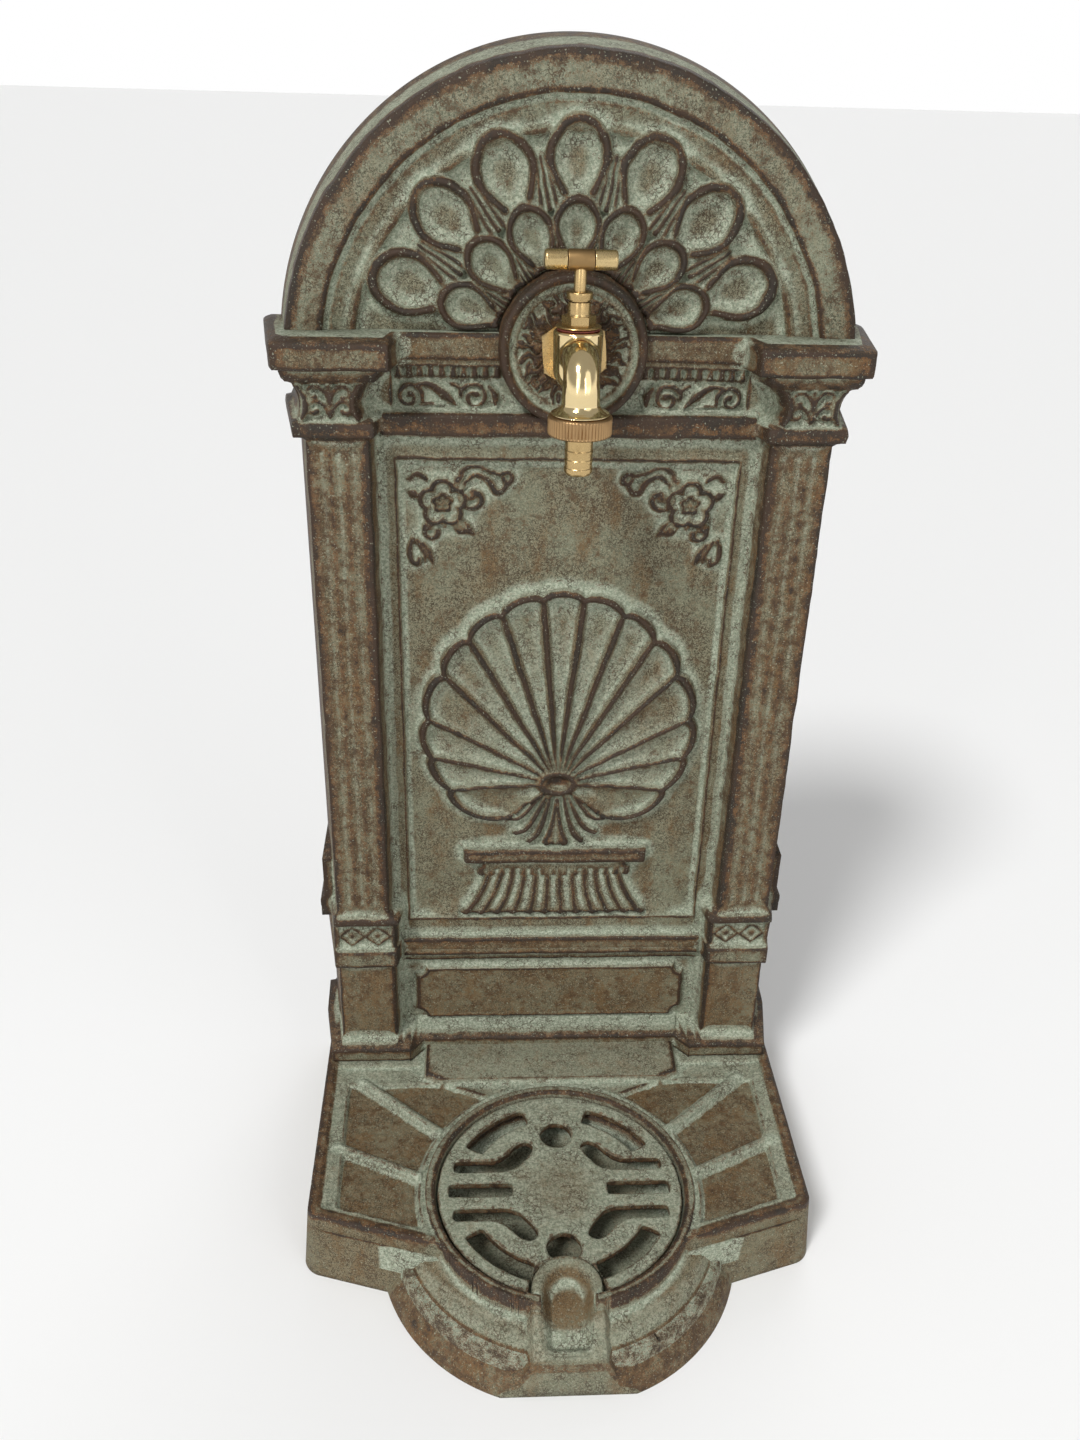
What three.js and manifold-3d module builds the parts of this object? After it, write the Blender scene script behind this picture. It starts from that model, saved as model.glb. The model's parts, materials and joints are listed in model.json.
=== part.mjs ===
// Cast-iron drinking fountain: an arched back panel standing on a basin with a lift-out grate,
// and a brass screw-down bib tap. Millimetres, +Z up, front towards -Y.
import * as THREE from 'three';
import { mergeVertices } from 'three/addons/utils/BufferGeometryUtils.js';
import Module from 'manifold-3d';

const wasm = await Module();
wasm.setup();

// ---------------------------------------------------------------- driving dimensions
const gap = 0.3;                 // clearance kept between two touching pieces
const overcut = 5;               // how far a cutting solid runs past the face it opens
const beyond = 200;              // half-size of a cutting block wider than the whole object

// depth positions, measured from the front face of the arch
const backFace = 48;
const frontFace = -244.5;
const castWall = 6;
const draft = Math.tan(THREE.MathUtils.degToRad(10));

// basin
const basinTop = 49;
const basinHalfBack = 158;
const basinHalfFront = 156.5;
const basinCornerY = -155;
const basinDraft = 4.5;
const grateY = -138;
const grateRadius = 76.9;
const grateThick = 6;
const ringInner = 77.9;
const ringOuter = 84.5;
const bowlRadius = 72;
const bowlFloor = 20;
const trayFloor = 44;
const skirtRadius = 113.5;
const skirtTopRadius = 111.5;
const ledgeOuterZ = 28;
const ledgeInnerRadius = 89;
const ledgeInnerZ = 33;
const troughY = -211;
const troughRadius = 15.5;
const troughWall = 6;
const tongueHalf = 87;
const tongueTop = 54;
const drainRadius = 12;

// back panel
const panelBase = basinTop + gap;
const archZ = 523.5;
const archRadius = 156;
const archBandInner = 136.2;
const tympanumRadius = 118.8;
const tympanumY = 8;
const bodyHalf = 148;
const springZ = 530;
const fieldY = 4;
const fieldHalf = 97.8;
const fieldLow = 154.5;
const fieldHigh = 475;
const cavityY = 14;
const roundelZ = 536.5;
const roundelRadius = 40.4;
const shellHalf = 87;
const shellRise = 81;
const shellMiddleZ = 316;

// tap
const tapZ = roundelZ;
const seatFaceY = -4;
const bonnetY = -32;
const spoutY = -62;
const spoutZ = 539.8;
const spoutRadius = 8.9;
const spoutBend = 18;
const seatZ = 534;
const bodyTop = 552;
const shankRadius = 10.4;
const handleZ = 586;
const nutLow = 505.8;
const nutHigh = 515.8;
const nutRadius = 16.5;
const threadRadius = 13;
const boreStop = 510.8;
const waterway = 6;              // radius of the bore through the inlet shank
const boreOnShank = shankRadius + gap;
const wallNutAcross = 35;
const locknutAcross = 30;
const neckTop = 566;
const stemRadius = 3.15;
const stemBore = stemRadius + gap;
const threadBore = 6.1;
const threadTop = 557;
const packingLow = 561;
const packingBore = 4.6;
const hubRadius = 5.2;
const hubHalf = 6.7;
const armRadius = 4.95;
const armStud = 2.4;
const handleReach = 18.5;
const tailBore = 5.2;
const tailRadius = 7.2;
const tailLow = 485.5;
const barbPitch = 4.3;

// bolts between panel and basin
const boltX = 100;
const boltY = 27;
const boltRadius = 4;
const boltHoleRadius = 4.6;
const platformBottom = 38;
const panelFloor = 8;
const boltHead = 13;             // across the flats
const boltHeadThick = 5.3;
const boltNutThick = 6.5;
const boltWasherRadius = 8.5;

// ---------------------------------------------------------------- materials
function material(color, roughness, metalness) {
  return new THREE.MeshStandardMaterial({ color, roughness, metalness });
}
const castIron = material(0x8fa08e, 0.85, 0.2);
const brass = material(0xc9a45c, 0.25, 1.0);
const dullBrass = material(0xa98758, 0.5, 1.0);
const steel = material(0x8d8f91, 0.45, 0.9);
const rubber = material(0x202020, 0.9, 0.0);
const fibre = material(0x7a3b2a, 0.8, 0.0);
const packingYarn = material(0xb8b2a4, 0.9, 0.0);

// ---------------------------------------------------------------- shape helpers
function solid(geometry) {
  const bare = geometry.index ? geometry.toNonIndexed() : geometry.clone();
  bare.deleteAttribute('normal');
  bare.deleteAttribute('uv');
  const merged = mergeVertices(bare, 1e-4);
  const mesh = new wasm.Mesh({
    numProp: 3,
    vertProperties: new Float32Array(merged.attributes.position.array),
    triVerts: new Uint32Array(merged.index.array),
  });
  return new wasm.Manifold(mesh);
}

function geometryOf(body) {
  const mesh = body.getMesh();
  const geometry = new THREE.BufferGeometry();
  geometry.setAttribute('position', new THREE.BufferAttribute(new Float32Array(mesh.vertProperties), 3));
  geometry.setIndex(new THREE.BufferAttribute(new Uint32Array(mesh.triVerts), 1));
  geometry.computeVertexNormals();
  return geometry;
}

function join(...bodies) {
  return bodies.reduce((whole, body) => whole.add(body));
}

function cut(body, ...tools) {
  return tools.reduce((rest, tool) => rest.subtract(tool), body);
}

function polygon(points) {
  const corners = points.map(([x, y]) => new THREE.Vector2(x, y));
  return new THREE.Shape(THREE.ShapeUtils.isClockWise(corners) ? corners.reverse() : corners);
}

function mirrored(points) {
  return points.map(([x, y]) => [-x, y]).reverse();
}

// a plan outline (x, y) between two heights
function slab(shape, low, high, curveSegments = 12) {
  const geometry = new THREE.ExtrudeGeometry(shape, { depth: high - low, bevelEnabled: false, curveSegments });
  geometry.translate(0, 0, low);
  return solid(geometry);
}

// an elevation outline (x, z) between two depths
function plate(shape, front, back, curveSegments = 12) {
  const geometry = new THREE.ExtrudeGeometry(shape, { depth: back - front, bevelEnabled: false, curveSegments });
  geometry.rotateX(Math.PI / 2);
  geometry.translate(0, back, 0);
  return solid(geometry);
}

// a side outline (y, z) between two x positions
function profile(points, left, right) {
  const geometry = new THREE.ExtrudeGeometry(polygon(points), { depth: right - left, bevelEnabled: false });
  geometry.rotateX(Math.PI / 2);
  geometry.rotateZ(Math.PI / 2);
  geometry.translate(left, 0, 0);
  return solid(geometry);
}

function box(x0, x1, y0, y1, z0, z1) {
  const geometry = new THREE.BoxGeometry(x1 - x0, y1 - y0, z1 - z0);
  geometry.translate((x0 + x1) / 2, (y0 + y1) / 2, (z0 + z1) / 2);
  return solid(geometry);
}

// two outlines with the same number of points, joined by sloping walls; the first lies at z = low
function taperedSlab(lowPoints, highPoints, low, high) {
  const geometry = new THREE.ExtrudeGeometry(polygon(lowPoints), { depth: high - low, bevelEnabled: false });
  const position = geometry.attributes.position;
  for (let i = 0; i < position.count; i += 1) {
    if (position.getZ(i) > 0) {
      const match = lowPoints.findIndex(([x, y]) => Math.hypot(x - position.getX(i), y - position.getY(i)) < 1e-3);
      position.setXY(i, ...highPoints[match]);
    }
  }
  geometry.translate(0, 0, low);
  return solid(geometry);
}

// the same, standing up: the first outline (x, z) lies at the back, the second at the front
function taperedPlate(backPoints, frontPoints, front, back) {
  return taperedSlab(backPoints, frontPoints, 0, back - front).rotate([90, 0, 0]).translate([0, back, 0]);
}

// a rectangular moulding that spreads towards the wall as a sand casting does
function moulding(x0, x1, z0, z1, front, back, sideDraft = draft) {
  const grow = (back - front) * sideDraft;
  const frontPoints = [[x0, z0], [x1, z0], [x1, z1], [x0, z1]];
  const backPoints = [[x0 - grow, z0 - 1], [x1 + grow, z0 - 1], [x1 + grow, z1 + 1], [x0 - grow, z1 + 1]];
  return taperedPlate(backPoints, frontPoints, front, back);
}

function turned(points, segments = 24) {
  const outline = points.map(([r, z]) => new THREE.Vector2(r, z));
  const geometry = new THREE.LatheGeometry(outline, segments);
  geometry.rotateX(Math.PI / 2);
  return solid(geometry);
}

function cylinder(radius, low, high, segments = 24) {
  return turned([[0, low], [radius, low], [radius, high], [0, high]], segments);
}

function ring(inner, outer, low, high, segments = 24) {
  return turned([[inner, low], [outer, low], [outer, high], [inner, high], [inner, low]], segments);
}

function hexagon(acrossFlats, low, high) {
  return cylinder(acrossFlats / Math.sqrt(3), low, high, 6);
}

function arcPoints(cx, cy, radius, from, to, steps) {
  return Array.from({ length: steps + 1 }, (_, i) => {
    const angle = from + ((to - from) * i) / steps;
    return [cx + radius * Math.cos(angle), cy + radius * Math.sin(angle)];
  });
}

// ---------------------------------------------------------------- assembly helpers
const fountain = new THREE.Group();
fountain.position.y = -(frontFace + backFace) / 2;

function add(name, body, look) {
  const mesh = new THREE.Mesh(geometryOf(body), look);
  mesh.name = name;
  fountain.add(mesh);
  return mesh;
}

// a piece turned about a vertical axis through (x, y)
function addUpright(name, body, look, x, y) {
  add(name, body, look).position.set(x, y, 0);
}

// a piece turned about the inlet axis: its own +Z runs back towards the wall
function addOnInlet(name, body, look) {
  const mesh = add(name, body, look);
  mesh.rotation.x = -Math.PI / 2;
  mesh.position.z = tapZ;
}

// ---------------------------------------------------------------- back panel
function panelOutline(half, radius, base) {
  const start = Math.asin((springZ - archZ) / radius);
  const arch = arcPoints(0, archZ, radius, start, Math.PI - start, 36);
  return [[-half, base], [half, base], [half, springZ], ...arch, [-half, springZ]];
}

function archedPocket(radius, front, back) {
  const points = arcPoints(0, archZ, radius, 0, Math.PI, 32);
  return plate(polygon([[-radius, springZ - 6], [radius, springZ - 6], ...points.slice(1, -1)]), front, back);
}

function petal(angle, reach, length, halfWidth) {
  const centre = reach - length / 2;
  const outline = new THREE.Shape();
  outline.absellipse(0, centre, halfWidth, length / 2, 0, 2 * Math.PI, false, 0);
  return plate(outline, tympanumY - 6, tympanumY + 1, 16).rotate([0, angle, 0]).translate([0, 0, roundelZ]);
}

function petals() {
  const rows = [
    { reach: 116, length: 52, halfWidth: 15.5, angles: [0, 23.5, 46, 69] },
    { reach: 76, length: 36, halfWidth: 10.5, angles: [0, 23, 46, 69] },
  ];
  const all = [];
  for (const row of rows) {
    for (const angle of row.angles) {
      const sides = angle === 0 ? [0] : [angle, -angle];
      for (const turn of sides) {
        all.push(petal(turn, row.reach, row.length, row.halfWidth));
      }
    }
  }
  return all;
}

const pilasterSteps = [
  // inner x, outer x, low z, high z, front y
  [98, 160, 528, 542.5, -28],
  [104, 156, 521, 528.5, -24],
  [113, 149, 499, 521.5, -18],
  [107.5, 152, 491, 500, -22],
  [111, 145, 168, 492, -17],
  [104.5, 147.5, 161.5, 169.5, -21],
  [107, 148, 140, 162, -17],
  [106, 148.5, 127, 141, -20],
  [108.5, 146.5, 60, 128, -15],
];

const abacusHalf = 165.8;
const abacusLow = 527.5;
const abacusHigh = 543;
const abacusDraft = 0.212;

function pilaster(side) {
  const steps = pilasterSteps.map(([inner, outer, low, high, front]) => {
    const x = side > 0 ? [inner, outer] : [-outer, -inner];
    return moulding(x[0], x[1], low, high, front, cavityY);
  });
  // the top slab of the capital runs back to the wall
  const slabReturn = side > 0 ? [120, abacusHalf] : [-abacusHalf, -120];
  const wing = moulding(...slabReturn, abacusLow, abacusHigh, 0, backFace, abacusDraft);
  return join(...steps, wing);
}

function basePlate() {
  const plan = [[155, 34], [162, 24], [153.5, -27], [99, -27], [90, -16]];
  const outline = [...mirrored(plan).reverse(), ...plan.reverse()];
  return slab(polygon(outline), panelBase, 61);
}

function entablature() {
  const fascia = moulding(-100, 100, 530, 544, -2, cavityY);
  const architrave = moulding(-104, 104, 491.5, 502, -6, cavityY);
  const kerb = moulding(-102, 102, 126, 141, -6, cavityY);
  const sunkPanel = moulding(-94.3, 94.3, 67, 111, 0, cavityY);
  return join(fascia, architrave, kerb, sunkPanel);
}

function shellRelief() {
  const lobes = 15;
  const halfSweep = THREE.MathUtils.degToRad(150);
  const points = [];
  const steps = lobes * 6;
  for (let i = 0; i <= steps; i += 1) {
    const along = i / steps;
    const angle = -halfSweep + 2 * halfSweep * along;
    const scallop = 1 - 0.05 * (1 - Math.abs(Math.sin(Math.PI * lobes * along)));
    points.push([shellHalf * scallop * Math.sin(angle), shellMiddleZ + shellRise * scallop * Math.cos(angle)]);
  }
  const fan = plate(polygon(points.reverse()), -7, fieldY + 1);
  const stem = plate(polygon([[-37, 211], [37, 211], [16, 262], [-16, 262]]), -4, fieldY + 1);
  const shelf = moulding(-60.5, 60.5, 201, 212.5, -5, fieldY + 1);
  const bell = plate(polygon([[-65, 156], [65, 156], [45, 203], [-45, 203]]), -3, fieldY + 1);
  return join(fan, stem, shelf, bell);
}

function roundel() {
  const edge = roundelRadius;
  const seat = 16;
  const section = [[0, seatFaceY], [seat, seatFaceY], [seat + 2, -5.6], [edge - 7, -5.6], [edge - 3, -10], [edge, -5],
    [edge + 2, 12], [0, 12]];
  return turned(section, 48).rotate([-90, 0, 0]).translate([0, 0, roundelZ]);
}

function panelCavity() {
  const grow = (backFace + overcut - cavityY) * draft;
  const inner = bodyHalf - castWall;
  const frontPoints = panelOutline(inner, archRadius - castWall, panelBase + panelFloor);
  const backPoints = panelOutline(inner + grow, archRadius - castWall + grow, panelBase + panelFloor);
  return taperedPlate(backPoints, frontPoints, cavityY, backFace + overcut);
}

// holes for the two bolts that hold the panel on the basin
function boltHoles() {
  return [-boltX, boltX].map((x) => cylinder(boltHoleRadius, 30, 90, 16).translate([x, boltY, 0]));
}

function backPanel() {
  const grow = backFace * draft;
  const shellOutline = taperedPlate(
    panelOutline(bodyHalf + grow, archRadius + grow, panelBase),
    panelOutline(bodyHalf, archRadius, panelBase),
    0,
    backFace,
  );
  const field = box(-fieldHalf, fieldHalf, -overcut, fieldY, fieldLow, fieldHigh);
  const lowerRecess = box(-103, 103, -overcut, 3, 62, 119);
  const tympanum = archedPocket(tympanumRadius, -overcut, tympanumY);
  const bandStep = archedPocket(archBandInner, -overcut, tympanumY / 2);
  const pockets = [-128, 128].map((x) => box(x - 9, x + 9, -8, cavityY + 1, 70, 515));
  const faced = cut(shellOutline, bandStep, tympanum, field, lowerRecess);
  const dressed = join(faced, entablature(), basePlate(), pilaster(1), pilaster(-1), shellRelief(), ...petals());
  const hollowed = cut(dressed, panelCavity(), ...pockets);
  const tapHole = cylinder(shankRadius + 0.7, -40, 40).rotate([-90, 0, 0]).translate([0, 0, tapZ]);
  return cut(join(hollowed, roundel()), tapHole, ...boltHoles());
}
add('back_panel', backPanel(), castIron);

// ---------------------------------------------------------------- basin
function basinPlan(grow) {
  const half = [
    [basinHalfBack + grow, backFace],
    [basinHalfFront + grow, basinCornerY - grow],
    [73, -180 - grow],
  ];
  return [...half, ...mirrored(half)].reverse();
}

function bulgeSection(inset) {
  return [
    [0, -overcut * (inset > 0)],
    [skirtRadius - inset, -overcut * (inset > 0)],
    [skirtTopRadius - inset, ledgeOuterZ - inset],
    [ledgeInnerRadius - inset, ledgeInnerZ - inset],
  ];
}

function spout() {
  const half = troughRadius + troughWall;
  return profile([[frontFace, 0], [frontFace, 34], [-222, basinTop], [-200, basinTop], [-200, 0]], -half, half);
}

function trough() {
  const slope = profile([[frontFace - overcut, 32], [-211, 41], [-211, 60], [frontFace - overcut, 60]],
    -troughRadius, troughRadius);
  return join(slope, cylinder(troughRadius, 41, 60).translate([0, troughY, 0]));
}

function trayPockets() {
  const half = [[140, -47], [139, -150], [78, -170], [60, -60], [80, -50]];
  const right = slab(polygon(half.reverse()), trayFloor, 60);
  const left = slab(polygon(mirrored(half)), trayFloor, 60);
  return cut(join(right, left), cylinder(ringOuter, 0, 70, 64).translate([0, grateY, 0]));
}

function basin() {
  const aboutGrate = (body) => body.translate([0, grateY, 0]);
  const trays = taperedSlab(basinPlan(basinDraft), basinPlan(0), 0, basinTop);
  const bulge = turned([...bulgeSection(0), [ringOuter + 2, 46], [ringOuter, basinTop], [0, basinTop]], 64);
  const front = box(-beyond, beyond, frontFace - beyond, frontFace, -beyond, beyond);
  const tongue = profile([[-18, 40], [-18, tongueTop], [-41, tongueTop], [-54, basinTop], [-54, 40]],
    -tongueHalf, tongueHalf);
  const block = cut(join(trays, aboutGrate(bulge), spout(), tongue), front);

  const end = cylinder(troughRadius + troughWall, 0, 70).translate([0, troughY, 0]);
  const bowl = cut(aboutGrate(cylinder(bowlRadius, bowlFloor, 70, 48)), end);
  const seat = cut(aboutGrate(cylinder(ringInner, basinTop - 2 - grateThick - gap, 70, 64)), end);
  const drain = aboutGrate(cylinder(drainRadius, 0, 40));

  const bowlOutside = aboutGrate(cylinder(bowlRadius + castWall, bowlFloor - castWall, 70, 48));
  const underTrays = taperedSlab(basinPlan(basinDraft - castWall), basinPlan(-castWall), -1, platformBottom)
    .intersect(box(-beyond, beyond, -170, backFace - castWall, -overcut, platformBottom));
  const underBulge = aboutGrate(turned([...bulgeSection(castWall), [0, ledgeInnerZ - castWall]], 64));
  const frontWall = box(-beyond, beyond, frontFace - beyond, frontFace + castWall + 1, -beyond, beyond);
  const hollow = cut(join(underTrays, cut(underBulge, frontWall)), bowlOutside);

  return cut(block, trayPockets(), bowl, seat, drain, trough(), hollow, ...boltHoles());
}
add('basin', basin(), castIron);

// ---------------------------------------------------------------- grate
function arcSlot(from, to) {
  const outer = arcPoints(0, 0, 68.5, from, to, 8);
  const inner = arcPoints(0, 0, 57.5, to, from, 8);
  return [...outer, ...inner];
}

function grateSlots() {
  const bent = [[67, 14], [67, 23.3], [39, 23.3], [30, 32], [21, 38], [14, 35], [17, 28], [28, 15.5], [34, 14]];
  const side = [[30, -5.2], [70, -5.2], [70, 5.2], [30, 5.2]];
  const arc = arcSlot(THREE.MathUtils.degToRad(31), THREE.MathUtils.degToRad(72));
  const all = [];
  for (const sx of [-1, 1]) {
    all.push(side.map(([x, y]) => [sx * x, y]));
    for (const sy of [-1, 1]) {
      all.push(bent.map(([x, y]) => [sx * x, sy * y]));
      all.push(arc.map(([x, y]) => [sx * x, sy * y]));
    }
  }
  return all;
}

function grate() {
  const high = basinTop - 2;
  const slots = grateSlots().map((points) => slab(polygon(points), 0, 90));
  const holes = [-43.5, 43.5].map((y) => cylinder(10.5, 0, 90).translate([0, y, 0]));
  const plain = cut(cylinder(grateRadius, high - grateThick, high, 64), ...slots, ...holes);
  const notch = cylinder(troughRadius + troughWall + 1.2, 0, 90, 32).translate([0, troughY, 0]);
  return cut(plain.translate([0, grateY, 0]), notch);
}
add('grate', grate(), castIron);

// ---------------------------------------------------------------- panel bolts
for (const [side, sign] of [['left', -1], ['right', 1]]) {
  const x = sign * boltX;
  const floorTop = panelBase + panelFloor;
  const washer = 1.6;
  const headLow = floorTop + gap + washer + gap;
  const nutTop = platformBottom - gap - washer - gap;
  const shankLow = nutTop - 9;
  const bolt = join(hexagon(boltHead, headLow, headLow + boltHeadThick), cylinder(boltRadius, shankLow, headLow + 1, 16));
  const nut = cut(hexagon(boltHead, nutTop - boltNutThick, nutTop), cylinder(boltRadius + gap, 0, 90, 16));
  const washerAt = (low) => ring(boltHoleRadius, boltWasherRadius, low, low + washer);
  addUpright(`panel_bolt_${side}`, bolt, steel, x, boltY);
  addUpright(`panel_bolt_washer_${side}`, washerAt(floorTop + gap), steel, x, boltY);
  addUpright(`panel_nut_washer_${side}`, washerAt(nutTop + gap), steel, x, boltY);
  addUpright(`panel_nut_${side}`, nut, steel, x, boltY);
}

// ---------------------------------------------------------------- tap body
function alongInlet(body) {
  return body.rotate([-90, 0, 0]).translate([0, 0, tapZ]);
}

function spoutTube(radius, start, end) {
  const path = new THREE.CurvePath();
  const corner = new THREE.Vector3(0, spoutY, spoutZ);
  const bendStart = new THREE.Vector3(0, spoutY + spoutBend, spoutZ);
  const bendEnd = new THREE.Vector3(0, spoutY, spoutZ - spoutBend);
  path.add(new THREE.LineCurve3(new THREE.Vector3(0, start, spoutZ), bendStart));
  path.add(new THREE.QuadraticBezierCurve3(bendStart, corner, bendEnd));
  path.add(new THREE.LineCurve3(bendEnd, new THREE.Vector3(0, spoutY, end)));
  const section = new THREE.Shape();
  section.absellipse(0, 0, radius, radius, 0, 2 * Math.PI, false, 0);
  return solid(new THREE.ExtrudeGeometry(section, { steps: 18, extrudePath: path, curveSegments: 10 }));
}

function tapBody() {
  const centre = seatZ - 1;
  const chamberRadius = 12.8;
  const bottom = arcPoints(0, centre, chamberRadius, -Math.PI / 2, 0, 8);
  const chamber = turned([...bottom, [chamberRadius, bodyTop - 1.5], [chamberRadius - 0.9, bodyTop], [0, bodyTop]], 28);
  const shank = alongInlet(cylinder(shankRadius, bonnetY + 4, 36));
  const neck = cylinder(11, bonnetY, -11.4).rotate([-90, 0, 0]).translate([0, 0, seatZ]);
  const boss = cylinder(threadRadius, boreStop + 0.3, nutHigh - gap).translate([0, spoutY, 0]);
  const outside = join(chamber.translate([0, bonnetY, 0]), shank, neck, spoutTube(spoutRadius, bonnetY, boreStop + 2), boss);

  const chamberBore = cylinder(7.6, seatZ, bodyTop + 1).translate([0, bonnetY, 0]);
  const seatHole = cylinder(3.9, 523.5, seatZ + 1, 16).translate([0, bonnetY, 0]);
  const inlet = alongInlet(cylinder(waterway, -12, 40));
  const lead = valveLead();
  const outlet = spoutTube(5.5, bonnetY - 3, boreStop - 2);
  return cut(outside, chamberBore, seatHole, inlet, lead, outlet);
}

// the sloping passage that brings water from the inlet to below the valve seat
function valveLead() {
  const run = 26;
  const slope = THREE.MathUtils.radToDeg(Math.atan2(9, 24));
  return cylinder(3.6, 0, run, 16).rotate([-90 + slope, 0, 0]).translate([0, bonnetY, seatZ - 8.5]);
}

add('tap_body', tapBody(), brass);

// ---------------------------------------------------------------- tap fixing on the panel
const gasketFront = -seatFaceY + gap;
const gasketThick = 1.5;
const wallNutBack = gasketFront + gasketThick + gap;
addOnInlet('tap_wall_gasket', ring(boreOnShank, 15.5, -gasketFront - gasketThick, -gasketFront), rubber);
addOnInlet('tap_wall_nut', cut(hexagon(wallNutAcross, -wallNutBack - 5, -wallNutBack), cylinder(boreOnShank, -20, 0)), brass);
const rearFace = cavityY + gap;
const rearWasher = 2;
const locknutFront = rearFace + rearWasher + gap;
addOnInlet('tap_rear_washer', ring(boreOnShank, 17, rearFace, rearFace + rearWasher), steel);
addOnInlet('tap_locknut', cut(hexagon(locknutAcross, locknutFront, locknutFront + 8), cylinder(boreOnShank, 0, 40)), brass);

// ---------------------------------------------------------------- bonnet, gland and spindle
const gasketLow = bodyTop + gap;
const bonnetGasket = 0.7;
const skirtLow = gasketLow + bonnetGasket + gap;
const hexLow = skirtLow + 1;
const neckLow = hexLow + 4.2;
const lowerEnd = 545;
const plugRadius = 7.3;          // the bonnet's part inside the valve chamber

function bonnet() {
  const skirt = cylinder(11, skirtLow, hexLow);
  const hex = hexagon(15, hexLow, neckLow);
  const lower = cylinder(plugRadius, lowerEnd, skirtLow + 1);
  const neck = cylinder(5.85, neckLow - 1, neckTop);
  const bore = turned([[0, 500], [threadBore, 500], [threadBore, threadTop], [stemBore, threadTop],
    [stemBore, packingLow], [packingBore, packingLow], [packingBore, 580], [0, 580]]);
  return cut(join(lower, skirt, hex, neck), bore);
}

function spindle() {
  const low = 541;
  const threadEnd = 551.4;
  const outside = turned([[0, low], [4.4, low], [4.4, lowerEnd], [threadBore - gap, lowerEnd], [threadBore - gap, threadEnd],
    [stemRadius, threadEnd + 0.6], [stemRadius, handleZ - 1], [0, handleZ - 1]]);
  const jumperSocket = cylinder(2.4, low - 1, 550.5, 16);
  return cut(outside, jumperSocket);
}

function alongX(body) {
  return body.rotate([0, 90, 0]).translate([0, 0, handleZ]);
}

function handleHub() {
  const barrel = alongX(cylinder(hubRadius, -hubHalf, hubHalf));
  const armBore = alongX(cylinder(armStud + gap, -20, 20, 16));
  return cut(barrel, armBore, cylinder(stemBore, 570, handleZ - 1 + gap, 24));
}

function handleArm(sign) {
  const start = sign * (hubHalf + gap);
  const end = sign * handleReach;
  const arm = cylinder(armRadius, Math.min(start, end), Math.max(start, end));
  const studEnd = sign * (stemBore + 0.5);
  const stud = cylinder(armStud, Math.min(start + sign, studEnd), Math.max(start + sign, studEnd), 16);
  return alongX(join(arm, stud));
}

const gland = turned([[stemBore, neckTop - 2], [packingBore - gap, neckTop - 2], [packingBore - gap, neckTop + gap],
  [5.3, neckTop + gap], [5.3, 567.3], [6.7, 567.3], [6.7, 571], [stemBore, 571], [stemBore, neckTop - 2]]);
const packing = ring(stemBore, packingBore - gap, packingLow + gap, neckTop - 2 - gap);
addUpright('tap_bonnet_gasket', ring(plugRadius + gap, 11, gasketLow, gasketLow + bonnetGasket), fibre, 0, bonnetY);
addUpright('tap_bonnet', bonnet(), brass, 0, bonnetY);
addUpright('tap_gland_packing', packing, packingYarn, 0, bonnetY);
addUpright('tap_gland_nut', gland, brass, 0, bonnetY);
addUpright('tap_spindle', spindle(), brass, 0, bonnetY);
addUpright('tap_handle_hub', handleHub(), dullBrass, 0, bonnetY);
addUpright('tap_handle_arm_left', handleArm(-1), brass, 0, bonnetY);
addUpright('tap_handle_arm_right', handleArm(1), brass, 0, bonnetY);

// ---------------------------------------------------------------- valve
const washerLow = seatZ + gap;
const washerTop = washerLow + 2.6;
const jumper = turned([[0, washerLow - 3], [1.5, washerLow - 3], [1.5, washerTop + gap], [6.6, washerTop + gap],
  [6.6, washerTop + 2.6], [2, washerTop + 2.6], [2, 549], [0, 549]], 16);
const valveNut = cut(hexagon(5.5, washerLow - 2.6, washerLow - gap), cylinder(1.5 + gap, 500, 560, 16));
addUpright('tap_valve_jumper', jumper, brass, 0, bonnetY);
addUpright('tap_valve_washer', ring(1.5 + gap, 6.5, washerLow, washerTop, 20), rubber, 0, bonnetY);
addUpright('tap_valve_nut', valveNut, brass, 0, bonnetY);

// ---------------------------------------------------------------- hose union
const nutFloor = nutLow + 2;
const collarLow = nutFloor + gap;
const collarTop = collarLow + 1.2;

function hoseTail() {
  const section = [[tailBore, tailLow], [6.6, tailLow]];
  for (let barb = 0; barb < 3; barb += 1) {
    const low = tailLow + 0.4 + barb * barbPitch;
    section.push([7.5, low + barbPitch - 0.4], [6.9, low + barbPitch]);
  }
  section.push([tailRadius, tailLow + 3 * barbPitch + 1], [tailRadius, collarLow], [12.6, collarLow]);
  section.push([12.6, collarTop], [tailBore, collarTop], [tailBore, tailLow]);
  return turned(section, 28);
}

const unionNut = turned([[tailRadius + gap + 0.2, nutLow], [nutRadius, nutLow], [nutRadius, nutHigh],
  [threadRadius + gap, nutHigh], [threadRadius + gap, nutFloor], [tailRadius + gap + 0.2, nutFloor],
  [tailRadius + gap + 0.2, nutLow]], 36);
addUpright('tap_union_nut', unionNut, dullBrass, 0, spoutY);
addUpright('tap_hose_tail', hoseTail(), brass, 0, spoutY);
addUpright('tap_hose_washer', ring(6, 12.4, collarTop + gap, boreStop), rubber, 0, spoutY);

export default fountain;
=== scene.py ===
"""Looks of the cast-iron drinking fountain: relief castings, brass tap, materials, studio and camera.

Lengths are in millimetres, measured from the front plane of the arch (y = 0) and the floor (z = 0),
until place() turns them into the frame's metres. Reliefs are height maps: h is how far the casting
stands out of its plane.
"""
import json
import math

import bmesh
import bpy
import numpy as np
from mathutils import Matrix, Vector


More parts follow.
